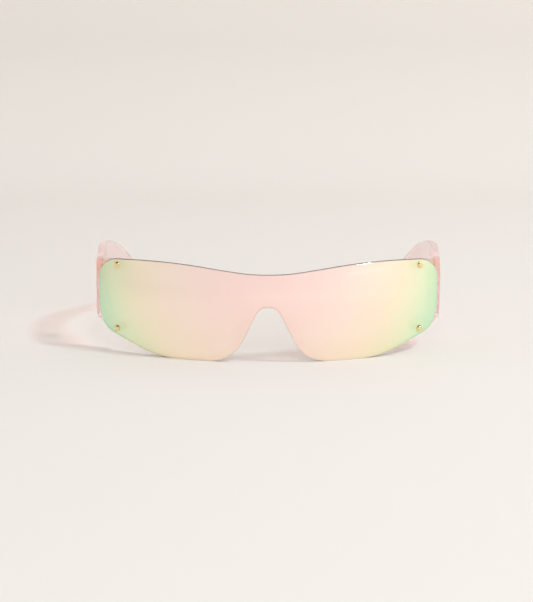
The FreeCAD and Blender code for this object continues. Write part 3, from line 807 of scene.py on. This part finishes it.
@dataclass(frozen=True)
class LensBall:
    """The ball whose surface the lens, the flanges and the pads follow."""

    radius: float = 100.0
    height: float = 20.0
    front: float = field(default_factory=lambda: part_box("shield_lens")[0].y / MM)

    @property
    def centre(self) -> np.ndarray:
        """The ball's centre."""
        return np.array([0.0, self.front + self.radius, self.height])

    def depth(self, radius: float) -> Depth:
        """Return the y of a concentric ball's front half over x and z."""
        centre = self.centre
        return lambda across, up: centre[1] - np.sqrt(radius**2 - across**2 - (up - centre[2]) ** 2)

    def pose(self, across: float, up: float, radius: float) -> Pose:
        """Return the outward pose behind a point of the lens's front.

        Args:
            across: the point's x.
            up: the point's z.
            radius: how far from the ball's centre the pose is.

        Returns:
            The pose.
        """
        rise = up - self.height
        outward = np.array([across, -math.sqrt(self.radius**2 - across**2 - rise**2), rise]) / self.radius
        return Pose(tuple(self.centre + outward * radius), tuple(outward))


@dataclass
class ShieldLens:
    """The one-piece lens: a spherical shell with a notch for the nose and four stud holes."""

    ball: LensBall
    thickness: float = LENS_THICKNESS
    rim: float = 0.3
    hole_radius: float = 1.15
    hole_overrun: float = 2.0
    hole_steps: int = 40
    broad_lean: float = math.radians(4)
    half: tuple[Corner, ...] = (
        Corner("notch", 3.55, 23.2, 5.2),
        Corner("flank", 10.5, 9.0, 20.0),
        Corner("inner lobe", 15.9, 0.0, 15.0),
        Corner("outer lobe", 45.62, 0.0, 39.0),
        Corner("cheek", 68.6, 9.4, 8.0),
        Corner("side", 71.15, 17.0, 18.0),
        Corner("corner", 71.4, 38.4, 8.7),
        Corner("brow", 42.2, 40.8, 160.0),
        Corner("bridge", 7.0, 36.4, 95.0),
    )

    def outline(self) -> list[Corner]:
        """Return the whole outline, anticlockwise from the front as X and Z are seen."""
        other = [corner._replace(across=-corner.across) for corner in reversed(self.half)]
        return list(self.half) + other

    def build(self, studs: list[Pose]) -> None:
        """Make the shell, drill it and dress it.

        Args:
            studs: the poses of the studs, on the front of the lens.
        """
        corner = named(self.half, "corner")
        middle = (named(self.half, "side").up + corner.up) / 2
        plate = Plate(
            self.outline(), self.ball.depth(self.ball.radius),
            self.ball.depth(self.ball.radius - self.thickness), self.rim,
            ((-corner.across, middle), (corner.across, middle)), lanes=30, spacing=1.2, finishes=(0, 1, 2))
        lens = make_mesh("shield_lens_shell", reorder(plate.sheets(), (0, 2, 1)))
        finishes = [MIRROR, EDGE, BACK]
        wear(lens.data, finishes)
        reach = self.thickness / 2 + self.hole_overrun
        drill = rod(self.hole_radius, -reach, reach, self.hole_steps)
        for pose in studs:
            combine(lens, make_mesh("drill", [pose.set(drill)]), Joining.CUT)
        finish_piece(lens, finishes, "shield_lens", "front")
        self.true_normals(lens.data)

    def true_normals(self, mesh: bpy.types.Mesh) -> None:
        """Give the broad faces the ball's own normals, so that the mirror has no facets.

        Args:
            mesh: the lens's mesh; a face is broad where it leans little from the ball's normal.
        """
        ends = read_rows(mesh.loops, "vertex_index", 1, np.int32)[:, 0]
        normals = read_rows(mesh.corner_normals, "vector", 3)
        radial = read_rows(mesh.vertices, "co", 3)[ends] - self.ball.centre * MM
        radial /= np.linalg.norm(radial, axis=1)[:, None]
        corners = read_rows(mesh.polygons, "loop_total", 1, np.int32)[:, 0]
        facing = np.repeat(read_rows(mesh.polygons, "normal", 3), corners, axis=0)
        lean = np.sum(facing * radial, axis=1)
        broad = np.abs(lean) > math.cos(self.broad_lean)
        normals[broad] = radial[broad] * np.sign(lean[broad])[:, None]
        mesh.normals_split_custom_set(normals.tolist())


@dataclass
class StudSet:
    """A domed stud through the lens, with its clear sleeve and the hexagon nut behind the flange."""

    ball: LensBall
    across: float = 63.2
    heights: tuple[tuple[Level, float], ...] = ((Level.UPPER, 36.9), (Level.LOWER, 10.2))
    shank_radius: float = 0.7
    head_radius: float = 1.3
    head_height: float = 0.95
    dome_radius: float = 0.8
    head_edge: float = 0.1
    foot_edge: float = 0.12
    profile_step: float = 0.25
    seat_gap: float = SEAT_GAP
    fit_gap: float = FIT_GAP
    tail: float = 0.4
    sleeve_wall: float = 0.35
    sleeve_length: float = LENS_THICKNESS
    flange_back: float = LENS_THICKNESS + SEAT_GAP + FLANGE_THICKNESS
    nut_flats: float = 2.6
    nut_height: float = 1.2
    nut_chamfer: float = 0.18
    steps: int = 48

    def pose(self, side: Side, level_name: Level, behind: float = 0.0) -> Pose:
        """Return a stud's pose on the lens's front, or that far behind it."""
        height = dict(self.heights)[level_name]
        return self.ball.pose(side.value * self.across, height, self.ball.radius - behind)

    def stud(self) -> Sheet:
        """Turn the stud: a shank under a round head with a domed edge.

        Returns:
            Its surface, with the lens's front at a height of zero.
        """
        crown = self.seat_gap + self.head_height
        foot = -(self.flange_back + self.nut_height + self.tail)
        profile, _ = rounded_path([
            Corner("foot centre", 0.0, foot, 0.0),
            Corner("foot edge", self.shank_radius, foot, self.foot_edge),
            Corner("neck", self.shank_radius, self.seat_gap, 0.0),
            Corner("head edge", self.head_radius, self.seat_gap, self.head_edge),
            Corner("dome", self.head_radius, crown, self.dome_radius),
            Corner("crown", 0.0, crown, 0.0),
        ], spacing=self.profile_step, closed=False)
        return turned(profile, self.steps)

    def sleeve(self) -> Sheet:
        """Turn the sleeve: a tube whose section closes on itself.

        Returns:
            Its surface, with the lens's front at a height of zero.
        """
        inner = self.shank_radius + self.fit_gap
        outer = inner + self.sleeve_wall
        foot = -self.sleeve_length
        profile = np.array([(inner, foot), (outer, foot), (outer, 0.0), (inner, 0.0), (inner, foot)])
        return turned(profile, self.steps)

    def nut(self) -> list[Sheet]:
        """Make the nut: a hexagon with a round bore.

        The hexagon's radius is that of its flats over the cosine of the angle from the nearest flat.

        Returns:
            Its walls, top, bore and bottom.
        """
        flat = self.nut_flats / 2
        bore = self.shank_radius + self.fit_gap

        def hexagon(angle: np.ndarray) -> np.ndarray:
            """Return the radius at an angle over the radius of the flats."""
            return 1 / np.cos(np.mod(angle, math.pi / 3) - math.pi / 6)

        low, high = 0.0, self.nut_height
        chamfer = self.nut_chamfer
        walls = turned(np.array([
            (flat - chamfer, low), (flat, low + chamfer), (flat, high - chamfer), (flat - chamfer, high),
        ]), self.steps, hexagon)
        hole = turned(np.array([(bore, high), (bore, low)]), self.steps)
        top = np.stack([walls.points[-1], hole.points[0]])
        bottom = np.stack([hole.points[-1], walls.points[0]])
        return [walls, Sheet(top), hole, Sheet(bottom)]

    def build(self, side: Side) -> None:
        """Make both studs of a side with their sleeves and nuts.

        Args:
            side: the wearer's side.
        """
        for level_name, _ in self.heights:
            start = f"{side.word}_{level_name.value}"
            front = self.pose(side, level_name)
            back = self.pose(side, level_name, self.flange_back + self.seat_gap + self.nut_height)
            stud = make_mesh(f"{start}_stud_dome", [front.set(self.stud())])
            finish_piece(stud, [GOLD], f"{start}_stud", "front")
            sleeve = make_mesh(f"{start}_bush_sleeve", [front.set(self.sleeve())])
            finish_piece(sleeve, [NYLON], f"{start}_bush", "front")
            nut = make_mesh(f"{start}_nut_hexagon", [back.set(sheet) for sheet in self.nut()])
            finish_piece(nut, [GOLD], f"{start}_nut", "front")


@dataclass
class Hinge:
    """The three-knuckle hinge: a leaf in the endpiece, a leaf in the temple and the screw between."""

    axis: Vector
    knuckle_radius: float = 1.3
    bore_radius: float = 0.75
    base: float = 27.4
    knuckle_height: float = 2.7
    middle_height: float = 2.9
    running_gap: float = 0.05
    leaf_offset: float = 0.3
    leaf_thickness: float = 0.9
    front_length: float = 5.4
    temple_length: float = 9.0
    relief_radius: float = 1.6
    fit_gap: float = FIT_GAP
    edge: float = 0.12
    corner: float = 0.8
    screw_radius: float = 0.7
    head_radius: float = 1.15
    head_height: float = 0.6
    head_edge: float = 0.25
    neck_edge: float = 0.08
    tip_edge: float = 0.15
    profile_step: float = 0.5
    seat_gap: float = SEAT_GAP
    slot_width: float = 0.35
    slot_depth: float = 0.3
    arm_top: float = ARM_HEAD
    overrun: float = 2.0
    steps: int = 48

    @property
    def levels(self) -> tuple[float, float, float, float, float, float]:
        """Stack the knuckles with a running gap between them.

        Returns:
            The heights where the lower, middle and upper knuckles start and end.
        """
        lower = self.base + self.knuckle_height
        middle = lower + self.running_gap
        middle_top = middle + self.middle_height
        upper = middle_top + self.running_gap
        return self.base, lower, middle, middle_top, upper, upper + self.knuckle_height

    @property
    def top(self) -> float:
        """The top of the upper knuckle."""
        return self.levels[-1]

    def tube(self, low: float, high: float, radius: float) -> Piece:
        """Make an upright cylinder on the hinge's axis, with eased ends where it is wider than the bore.

        Args:
            low: its lower end.
            high: its upper end.
            radius: its radius.

        Returns:
            The cylinder.
        """
        ease = self.edge if radius > self.bore_radius else 0.0
        profile, _ = rounded_path([
            Corner("low centre", 0.0, low, 0.0), Corner("low edge", radius, low, ease),
            Corner("high edge", radius, high, ease), Corner("high centre", 0.0, high, 0.0),
        ], spacing=1.0, closed=False)
        return make_mesh("tube", [Pose((self.axis.x, self.axis.y, 0.0)).set(turned(profile, self.steps))])

    def leaf(self, name: str, corners: list[Corner], knuckles: list[Pair],
             poles: tuple[Pair, Pair]) -> Piece:
        """Make a leaf: a plate with its knuckles fused on and bored.

        Args:
            name: the piece's name.
            corners: the plate's outline in y and z.
            knuckles: the lower and upper end of each knuckle.
            poles: where the outline is split, at its foot and at its top.

        Returns:
            The leaf.
        """
        start = self.axis.x + self.leaf_offset
        plate = Plate(corners, level(start), level(start + self.leaf_thickness), self.edge, poles, along=1,
                      lanes=6, spacing=1.0, rim_steps=2)
        thing = make_mesh(name, reorder(plate.sheets(), (2, 0, 1)))
        for low, high in knuckles:
            combine(thing, self.tube(low, high, self.knuckle_radius), Joining.FUSE)
        bore = self.tube(self.base - self.overrun, self.top + self.overrun, self.bore_radius)
        combine(thing, bore, Joining.CUT)
        return thing

    def front_leaf(self, name: str) -> Piece:
        """Make the endpiece's leaf, with the lower and upper knuckles.

        Args:
            name: the piece's name.

        Returns:
            The leaf.
        """
        low, lower, _, _, upper, high = self.levels
        pin = self.axis.y
        step, front = pin - self.relief_radius, pin - self.front_length
        ease = 2 * self.edge
        corners = [
            Corner("front foot", front, low, self.corner), Corner("foot", pin, low, ease),
            Corner("lower knuckle", pin, lower, ease), Corner("step", step, lower, ease),
            Corner("upper step", step, upper, ease), Corner("upper knuckle", pin, upper, ease),
            Corner("head", pin, high, ease), Corner("front head", front, high, self.corner),
        ]
        middle = (front + pin) / 2
        return self.leaf(name, corners, [(low, lower), (upper, high)], ((middle, low), (middle, high)))

    def temple_leaf(self, name: str) -> Piece:
        """Make the temple's leaf, with the middle knuckle.

        Args:
            name: the piece's name.

        Returns:
            The leaf.
        """
        low, _, middle_low, middle_high, _, high = self.levels
        pin = self.axis.y
        step, back = pin + self.relief_radius, pin + self.temple_length
        ease = 2 * self.edge
        corners = [
            Corner("foot", step, low, ease), Corner("back foot", back, low, self.corner),
            Corner("back head", back, high, self.corner), Corner("head", step, high, ease),
            Corner("upper step", step, middle_high, ease), Corner("knuckle head", pin, middle_high, ease),
            Corner("knuckle foot", pin, middle_low, ease), Corner("lower step", step, middle_low, ease),
        ]
        middle = (step + back) / 2
        return self.leaf(name, corners, [(middle_low, middle_high)], ((middle, low), (middle, high)))

    def screw(self, name: str) -> Piece:
        """Turn the screw and mill its slot.

        Args:
            name: the piece's name.

        Returns:
            The screw.
        """
        seat = self.top + self.seat_gap
        crown = seat + self.head_height
        profile, _ = rounded_path([
            Corner("tip", 0.0, self.base, 0.0),
            Corner("tip edge", self.screw_radius, self.base, self.tip_edge),
            Corner("neck", self.screw_radius, seat, 0.0),
            Corner("head edge", self.head_radius, seat, self.neck_edge),
            Corner("rim", self.head_radius, crown, self.head_edge),
            Corner("crown", 0.0, crown, 0.0),
        ], spacing=self.profile_step, closed=False)
        screw = make_mesh(name, [Pose((self.axis.x, self.axis.y, 0.0)).set(turned(profile, self.steps))])
        reach = self.head_radius + self.overrun
        half = self.slot_width / 2
        slot = box_mesh("slot", (self.axis.x - reach, self.axis.y - half, crown - self.slot_depth),
                        (self.axis.x + reach, self.axis.y + half, crown + self.overrun))
        combine(screw, slot, Joining.CUT)
        return screw

    def let_in(self, thing: Piece, start: float, end: float) -> None:
        """Cut the leaf's pocket and the room for the knuckles out of a moulding.

        Args:
            thing: the moulding.
            start: the pocket's front end.
            end: its back end.
        """
        face = self.axis.x + self.leaf_offset
        pocket = box_mesh("pocket", (face - self.overrun, start, self.base - self.fit_gap),
                          (face + self.leaf_thickness + self.fit_gap, end, self.top + self.fit_gap))
        combine(thing, pocket, Joining.CUT)
        room = self.tube(self.base - self.overrun, self.arm_top + self.overrun, self.relief_radius)
        combine(thing, room, Joining.CUT)

    def build(self, side: Side) -> None:
        """Make a side's two leaves and screw.

        Args:
            side: the wearer's side.
        """
        front = self.front_leaf(f"{side.word}_hinge_front_plate")
        rear = self.temple_leaf(f"{side.word}_hinge_temple_plate")
        screw = self.screw(f"{side.word}_hinge_screw_pin")
        for thing in (front, rear, screw):
            flip(thing, side)
        finish_piece(front, [GOLD], f"{side.word}_hinge_front_leaf", "front")
        finish_piece(rear, [GOLD], f"{side.word}_hinge_temple_leaf", f"{side.word}_temple")
        finish_piece(screw, [GOLD], f"{side.word}_hinge_screw", "front")


@dataclass
class Endpiece:
    """The clear endpiece: a flange seated behind the lens, and an arm back to the hinge."""

    ball: LensBall
    hinge: Hinge
    studs: StudSet
    seat: float = LENS_THICKNESS + SEAT_GAP
    thickness: float = FLANGE_THICKNESS
    rim: float = 0.35
    arm_corner: float = 1.0
    arm_ease: float = 0.3
    arm_inset: float = 0.05
    joint_gap: float = HINGE_GAP
    lug: float = 60.0
    lug_corner: float = 1.4
    web: float = 66.4
    web_corner: float = 3.0
    corners: tuple[Corner, ...] = (
        Corner("lower lug foot", lug, 7.5, lug_corner),
        Corner("cheek", ARM_OUTER, 9.4, 10.0),
        Corner("head", ARM_OUTER, ARM_HEAD, lug_corner),
        Corner("upper lug head", lug, 38.6, lug_corner),
        Corner("upper lug", lug, 34.2, lug_corner),
        Corner("upper web", web, 32.6, web_corner),
        Corner("lower web", web, 14.5, web_corner),
        Corner("lower lug", lug, 12.9, lug_corner),
    )

    def build(self, side: Side) -> None:
        """Fuse the flange and the arm, let in the hinge and drill for the studs.

        Args:
            side: the wearer's side.
        """
        seat = self.ball.radius - self.seat
        middle = (self.lug + ARM_OUTER) / 2
        foot, head = named(self.corners, "lower lug foot").up, named(self.corners, "upper lug head").up
        plate = Plate(
            list(self.corners), self.ball.depth(seat), self.ball.depth(seat - self.thickness), self.rim,
            ((middle, foot), (middle, head)), along=1, lanes=14, spacing=1.0)
        thing = make_mesh(f"{side.word}_endpiece_moulding", reorder(plate.sheets(), (0, 2, 1)))
        combine(thing, self.arm(seat), Joining.FUSE)
        pin = self.hinge.axis.y
        self.hinge.let_in(thing, pin - self.hinge.front_length - self.hinge.fit_gap, pin)
        bore = self.studs.shank_radius + self.studs.fit_gap
        drill = rod(bore, -2 * self.seat - self.thickness, 0.0, self.studs.steps)
        for level_name in Level:
            tool = make_mesh("drill", [self.studs.pose(Side.LEFT, level_name).set(drill)])
            combine(thing, tool, Joining.CUT)
        flip(thing, side)
        finish_piece(thing, [PINK], f"{side.word}_endpiece", "front")

    def arm(self, seat: float) -> Piece:
        """Make the arm: a block with rounded edges that starts inside the flange and ends at the hinge.

        Args:
            seat: the radius of the flange's front.

        Returns:
            The arm.
        """
        high, outer = ARM_HEAD - self.arm_inset, ARM_OUTER - self.arm_inset
        corners = [
            Corner("inner foot", ARM_INNER, ARM_FOOT, self.arm_corner),
            Corner("outer foot", outer, ARM_FOOT, self.arm_corner),
            Corner("outer head", outer, high, self.arm_corner),
            Corner("inner head", ARM_INNER, high, self.arm_corner),
        ]
        middle = (ARM_INNER + outer) / 2
        plate = Plate(
            corners, self.ball.depth(seat - self.thickness / 2), level(self.hinge.axis.y - self.joint_gap),
            self.arm_ease, ((middle, ARM_FOOT), (middle, high)), along=1, lanes=6, spacing=1.0)
        return make_mesh("arm", reorder(plate.sheets(), (0, 2, 1)))


@dataclass
class Temple:
    """The clear temple: tall at the hinge, arched below, bent down and in to its tip."""

    hinge: Hinge
    front_gap: float = HINGE_GAP
    tip_thickness: float = 2.8
    bow: float = 2.0
    bow_place: float = 34.0
    bow_radius: float = 140.0
    reach: float = 109.0
    toe_in: float = 13.7
    overrun: float = 2.0
    rim: float = 0.8
    side_view: tuple[Corner, ...] = (
        Corner("front foot", front_gap, ARM_FOOT, 1.0),
        Corner("arch", 21.0, 24.5, 25.0),
        Corner("waist", 47.0, 25.4, 40.0),
        Corner("rest", 99.5, 0.0, 15.0),
        Corner("heel", reach, 0.0, 3.0),
        Corner("tip", reach, 7.0, 3.0),
        Corner("bend", 44.0, 41.0, 90.0),
        Corner("front head", front_gap, ARM_HEAD, 1.0),
    )

    def plan(self, front: float, bowed: float, tip: float) -> Depth:
        """Return a broad face's x over y: two straight runs joined by the bow's arc.

        Args:
            front: x at the hinge.
            bowed: x where the runs would meet.
            tip: x past the tip.

        Returns:
            The depth function over y and z.
        """
        pin = self.hinge.axis.y
        run, _ = rounded_path([
            Corner("front", pin - self.overrun, front, 0.0),
            Corner("bow", pin + self.bow_place, bowed, self.bow_radius),
            Corner("tip", pin + self.reach + self.overrun, tip, 0.0),
        ], spacing=1.0, closed=False)
        return lambda along, up: np.interp(along, run[:, 0], run[:, 1])

    def build(self, side: Side) -> None:
        """Make the arm of the temple and let in its hinge leaf.

        Args:
            side: the wearer's side.
        """
        pin = self.hinge.axis.y
        corners = [corner._replace(across=pin + corner.across) for corner in self.side_view]
        tip = ARM_INNER - self.toe_in
        inside = self.plan(ARM_INNER, ARM_INNER + self.bow, tip)
        outside = self.plan(ARM_OUTER, ARM_OUTER + self.bow, tip + self.tip_thickness)
        heel = named(self.side_view, "heel")
        poles = ((pin + self.front_gap, (ARM_FOOT + ARM_HEAD) / 2), (pin + self.reach, heel.up + heel.radius))
        plate = Plate(corners, inside, outside, self.rim, poles, lanes=18, spacing=1.2, rim_steps=5)
        thing = make_mesh(f"{side.word}_temple_moulding", reorder(plate.sheets(), (2, 0, 1)))
        self.hinge.let_in(thing, pin, pin + self.hinge.temple_length + self.hinge.fit_gap)
        flip(thing, side)
        finish_piece(thing, [PINK], f"{side.word}_temple", f"{side.word}_temple")


@dataclass
class NosePad:
    """The clear nose pad: a rounded wing along the flank of the notch, splayed back."""

    lens: ShieldLens
    seat: float = LENS_THICKNESS + SEAT_GAP
    length: float = 13.0
    reach: float = 9.0
    thickness: float = 1.8
    corner: float = 3.5
    root_corner: float = 0.7
    rim: float = 0.6
    height: float = 11.5
    offset: float = 1.05
    splay: float = math.radians(28)

    def build(self, side: Side) -> None:
        """Make the wing flat, then set it on the back of the lens with its root drawn to the ball.

        Args:
            side: the wearer's side.
        """
        half = self.length / 2
        corners = [
            Corner("root", -half, 0.0, self.root_corner), Corner("root", half, 0.0, self.root_corner),
            Corner("tip", half, self.reach, self.corner), Corner("tip", -half, self.reach, self.corner),
        ]
        middle = self.reach / 2
        plate = Plate(corners, level(-self.thickness / 2), level(self.thickness / 2), self.rim,
                      ((-half, middle), (half, middle)), lanes=10, spacing=0.8)
        sheets = [Sheet(self.seated(sheet.points), sheet.finish) for sheet in plate.sheets()]
        thing = make_mesh(f"{side.word}_nose_pad_wing", sheets, side.value)
        finish_piece(thing, [SILICONE], f"{side.word}_nose_pad", "front")

    def seated(self, points: np.ndarray) -> np.ndarray:
        """Place points given as along the flank, back from the lens and through the wing.

        A point's distance back is b = r + s (reach - r) / reach, where s is its distance on the flat wing
        and r is where its line back leaves the ball, from |p + r back - centre| = radius.

        Args:
            points: places on the flat wing.

        Returns:
            The same places on the glasses.
        """
        ball = self.lens.ball
        notch, flank = named(self.lens.half, "notch"), named(self.lens.half, "flank")
        down = np.array([flank.across - notch.across, 0.0, flank.up - notch.up])
        down /= np.linalg.norm(down)
        away = np.array([-down[2], 0.0, down[0]])
        back = np.array([0.0, math.cos(self.splay), 0.0]) + away * math.sin(self.splay)
        through = np.cross(down, back)
        radius = ball.radius - self.seat
        across = flank.across + (self.height - flank.up) * down[0] / down[2] + self.offset
        depth = float(ball.depth(radius)(np.array(across), np.array(self.height)))
        origin = np.array([across, depth, self.height])
        start = origin + points[..., :1] * down + points[..., 2:] * through - ball.centre
        lean = start @ back
        root = -lean - np.sqrt(lean**2 - np.sum(start**2, axis=-1) + radius**2)
        distance = root + points[..., 1] * (self.reach - root) / self.reach
        return start + ball.centre + distance[..., None] * back


# The studio


@dataclass(frozen=True)
class Lamp:
    """A soft lamp that points at the object: its name, place and size in metres, and power in watts."""

    name: str
    place: Triple
    size: Pair
    power: float
    mirrored: bool = True

    def hang(self) -> None:
        """Make the lamp, round where its width is its height, and hang it in its place."""
        light = bpy.data.lights.new(self.name, "AREA")
        light.shape = "ELLIPSE" if self.size[0] == self.size[1] else "RECTANGLE"
        light.size, light.size_y = self.size
        light.energy = self.power
        holder = bpy.data.objects.new(self.name, light)
        holder.location = self.place
        holder.rotation_euler = (-Vector(self.place)).to_track_quat("-Z", "Y").to_euler()
        holder.visible_glossy = self.mirrored
        bpy.context.scene.collection.objects.link(holder)


@dataclass
class Stage:
    """The studio, in metres: a paper sweep, soft light from the right, and the photograph's camera."""

    floor_back: float = 0.42
    sweep_radius: float = 0.35
    bend_steps: int = 25
    floor_front: float = -1.55
    half_width: float = 1.6
    backdrop_top: float = 1.6
    sky: str = "#fffdfb"
    seen_strength: float = 0.84
    horizon_strength: float = 1.05
    zenith_strength: float = 0.4
    mirrored_strengths: Pair = (0.74, 1.0)
    mirrored_reach: float = 0.9
    ceiling_rises: Pair = (0.45, 0.6)
    ceiling_share: float = 0.08
    lamps: tuple[Lamp, ...] = (
        Lamp("key", (0.93, -0.45, 1.27), (0.24, 0.24), 8.8),
        Lamp("strip", (1.01, -0.86, 0.19), (0.5, 0.016), 0.015),
        Lamp("fill", (0.29, -1.62, 0.6), (1.2, 1.2), 7.2, mirrored=False),
    )
    eye: Triple = (-0.00075, -0.825, 0.172)
    pitch: float = math.radians(-11.0)
    focal_pixels: float = 1883.0
    sight: Pair = (0.01, 20.0)

    def build(self) -> None:
        """Make the paper, the light and the camera."""
        self.make_sweep()
        self.make_light()
        self.make_camera()

    def make_sweep(self) -> None:
        """Carry the sweep's profile, floor then quarter circle then wall, across the width.

        Its face is turned to the object, because the paper is open to a view from behind.
        """
        turn = np.linspace(0, math.pi / 2, self.bend_steps)
        bend = np.stack([self.floor_back + self.sweep_radius * np.sin(turn),
                         self.sweep_radius * (1 - np.cos(turn))], axis=1)
        profile = np.vstack([[(self.floor_front, 0.0)], bend, [(bend[-1, 0], self.backdrop_top)]])
        sides = (-self.half_width, self.half_width)
        grid = np.stack([np.column_stack([np.full(len(profile), x), profile]) for x in sides]) / MM
        sweep = make_mesh("paper_sweep", [Sheet(grid)])
        sweep.data.flip_normals()
        sweep.data.materials.append(PAPER.material())
        sweep.data.polygons.foreach_set("use_smooth", np.ones(len(sweep.data.polygons), dtype=bool))

    def make_light(self) -> None:
        """Light the scene with pale walls, a dark ceiling and three lamps.

        The walls glow most at the horizon, as softboxes do. A mirrored ray sees them at the level of the
        floor, so that no horizon shows in the lens, and the ceiling as dark, which gives gold its contrast.
        The key and a thin strip hang on the right. The broad fill in front isn't mirrored in the lens.
        """
        world = bpy.data.worlds.new("studio")
        world.use_nodes = True
        tree = world.node_tree
        way = add_node(tree, "TexCoord").outputs["Generated"]
        parts = add_node(tree, "SeparateXYZ", {0: way}).outputs
        walls = add_node(tree, "MapRange", {
            "Value": parts["Z"], "To Min": self.horizon_strength, "To Max": self.zenith_strength})
        sides = add_node(tree, "MapRange", {
            "Value": parts["X"], "From Min": -self.mirrored_reach, "From Max": self.mirrored_reach,
            "To Min": self.mirrored_strengths[0], "To Max": self.mirrored_strengths[1]})
        ceiling = add_node(tree, "MapRange", {
            "Value": parts["Z"], "From Min": self.ceiling_rises[0], "From Max": self.ceiling_rises[1],
            "To Min": 1.0, "To Max": self.ceiling_share})
        glow = add_node(tree, "Math", {
            0: sides.outputs["Result"], 1: ceiling.outputs["Result"]}, operation="MULTIPLY")
        path = add_node(tree, "LightPath").outputs
        direct = add_node(tree, "Math", {
            0: path["Is Camera Ray"], 1: path["Is Transmission Ray"]}, operation="MAXIMUM")
        mirrored = add_node(tree, "Math", {
            0: path["Is Glossy Ray"], 1: path["Is Transmission Ray"]}, operation="SUBTRACT", use_clamp=True)
        plain = add_node(tree, "Mix", {
            "Factor": direct.outputs[0], 2: walls.outputs["Result"], 3: self.seen_strength})
        strength = add_node(tree, "Mix", {
            "Factor": mirrored.outputs[0], 2: plain.outputs[0], 3: glow.outputs[0]})
        shade = tree.nodes["Background"]
        shade.inputs["Color"].default_value = linear(self.sky)
        tree.links.new(strength.outputs[0], shade.inputs["Strength"])
        bpy.context.scene.world = world
        for lamp in self.lamps:
            lamp.hang()

    def make_camera(self) -> None:
        """Set the camera where the photograph was taken from."""
        scene = bpy.context.scene
        lens = bpy.data.cameras.new("camera")
        lens.lens = self.focal_pixels / PHOTO_HEIGHT * lens.sensor_width
        lens.clip_start, lens.clip_end = self.sight
        camera = bpy.data.objects.new("camera", lens)
        camera.location = self.eye
        camera.rotation_euler = (math.pi / 2 + self.pitch, 0.0, 0.0)
        scene.collection.objects.link(camera)
        scene.camera = camera
        scene.view_settings.view_transform = "Standard"


def main() -> None:
    """Build the sub-assemblies in order, then the studio."""
    logging.basicConfig(level=logging.INFO, format="%(message)s")
    ball = LensBall()
    studs = StudSet(ball)
    joint = next(joint for joint in frame["joints"] if joint["child"] == "left_temple")
    hinge = Hinge(Vector(joint["pos_m"]) / MM)
    lens = ShieldLens(ball)
    lens.build([studs.pose(side, level_name) for side in Side for level_name in Level])
    for side in Side:
        for part in (studs, Endpiece(ball, hinge, studs), hinge, Temple(hinge), NosePad(lens)):
            part.build(side)
    Stage().build()


if __name__ == "__main__":
    main()
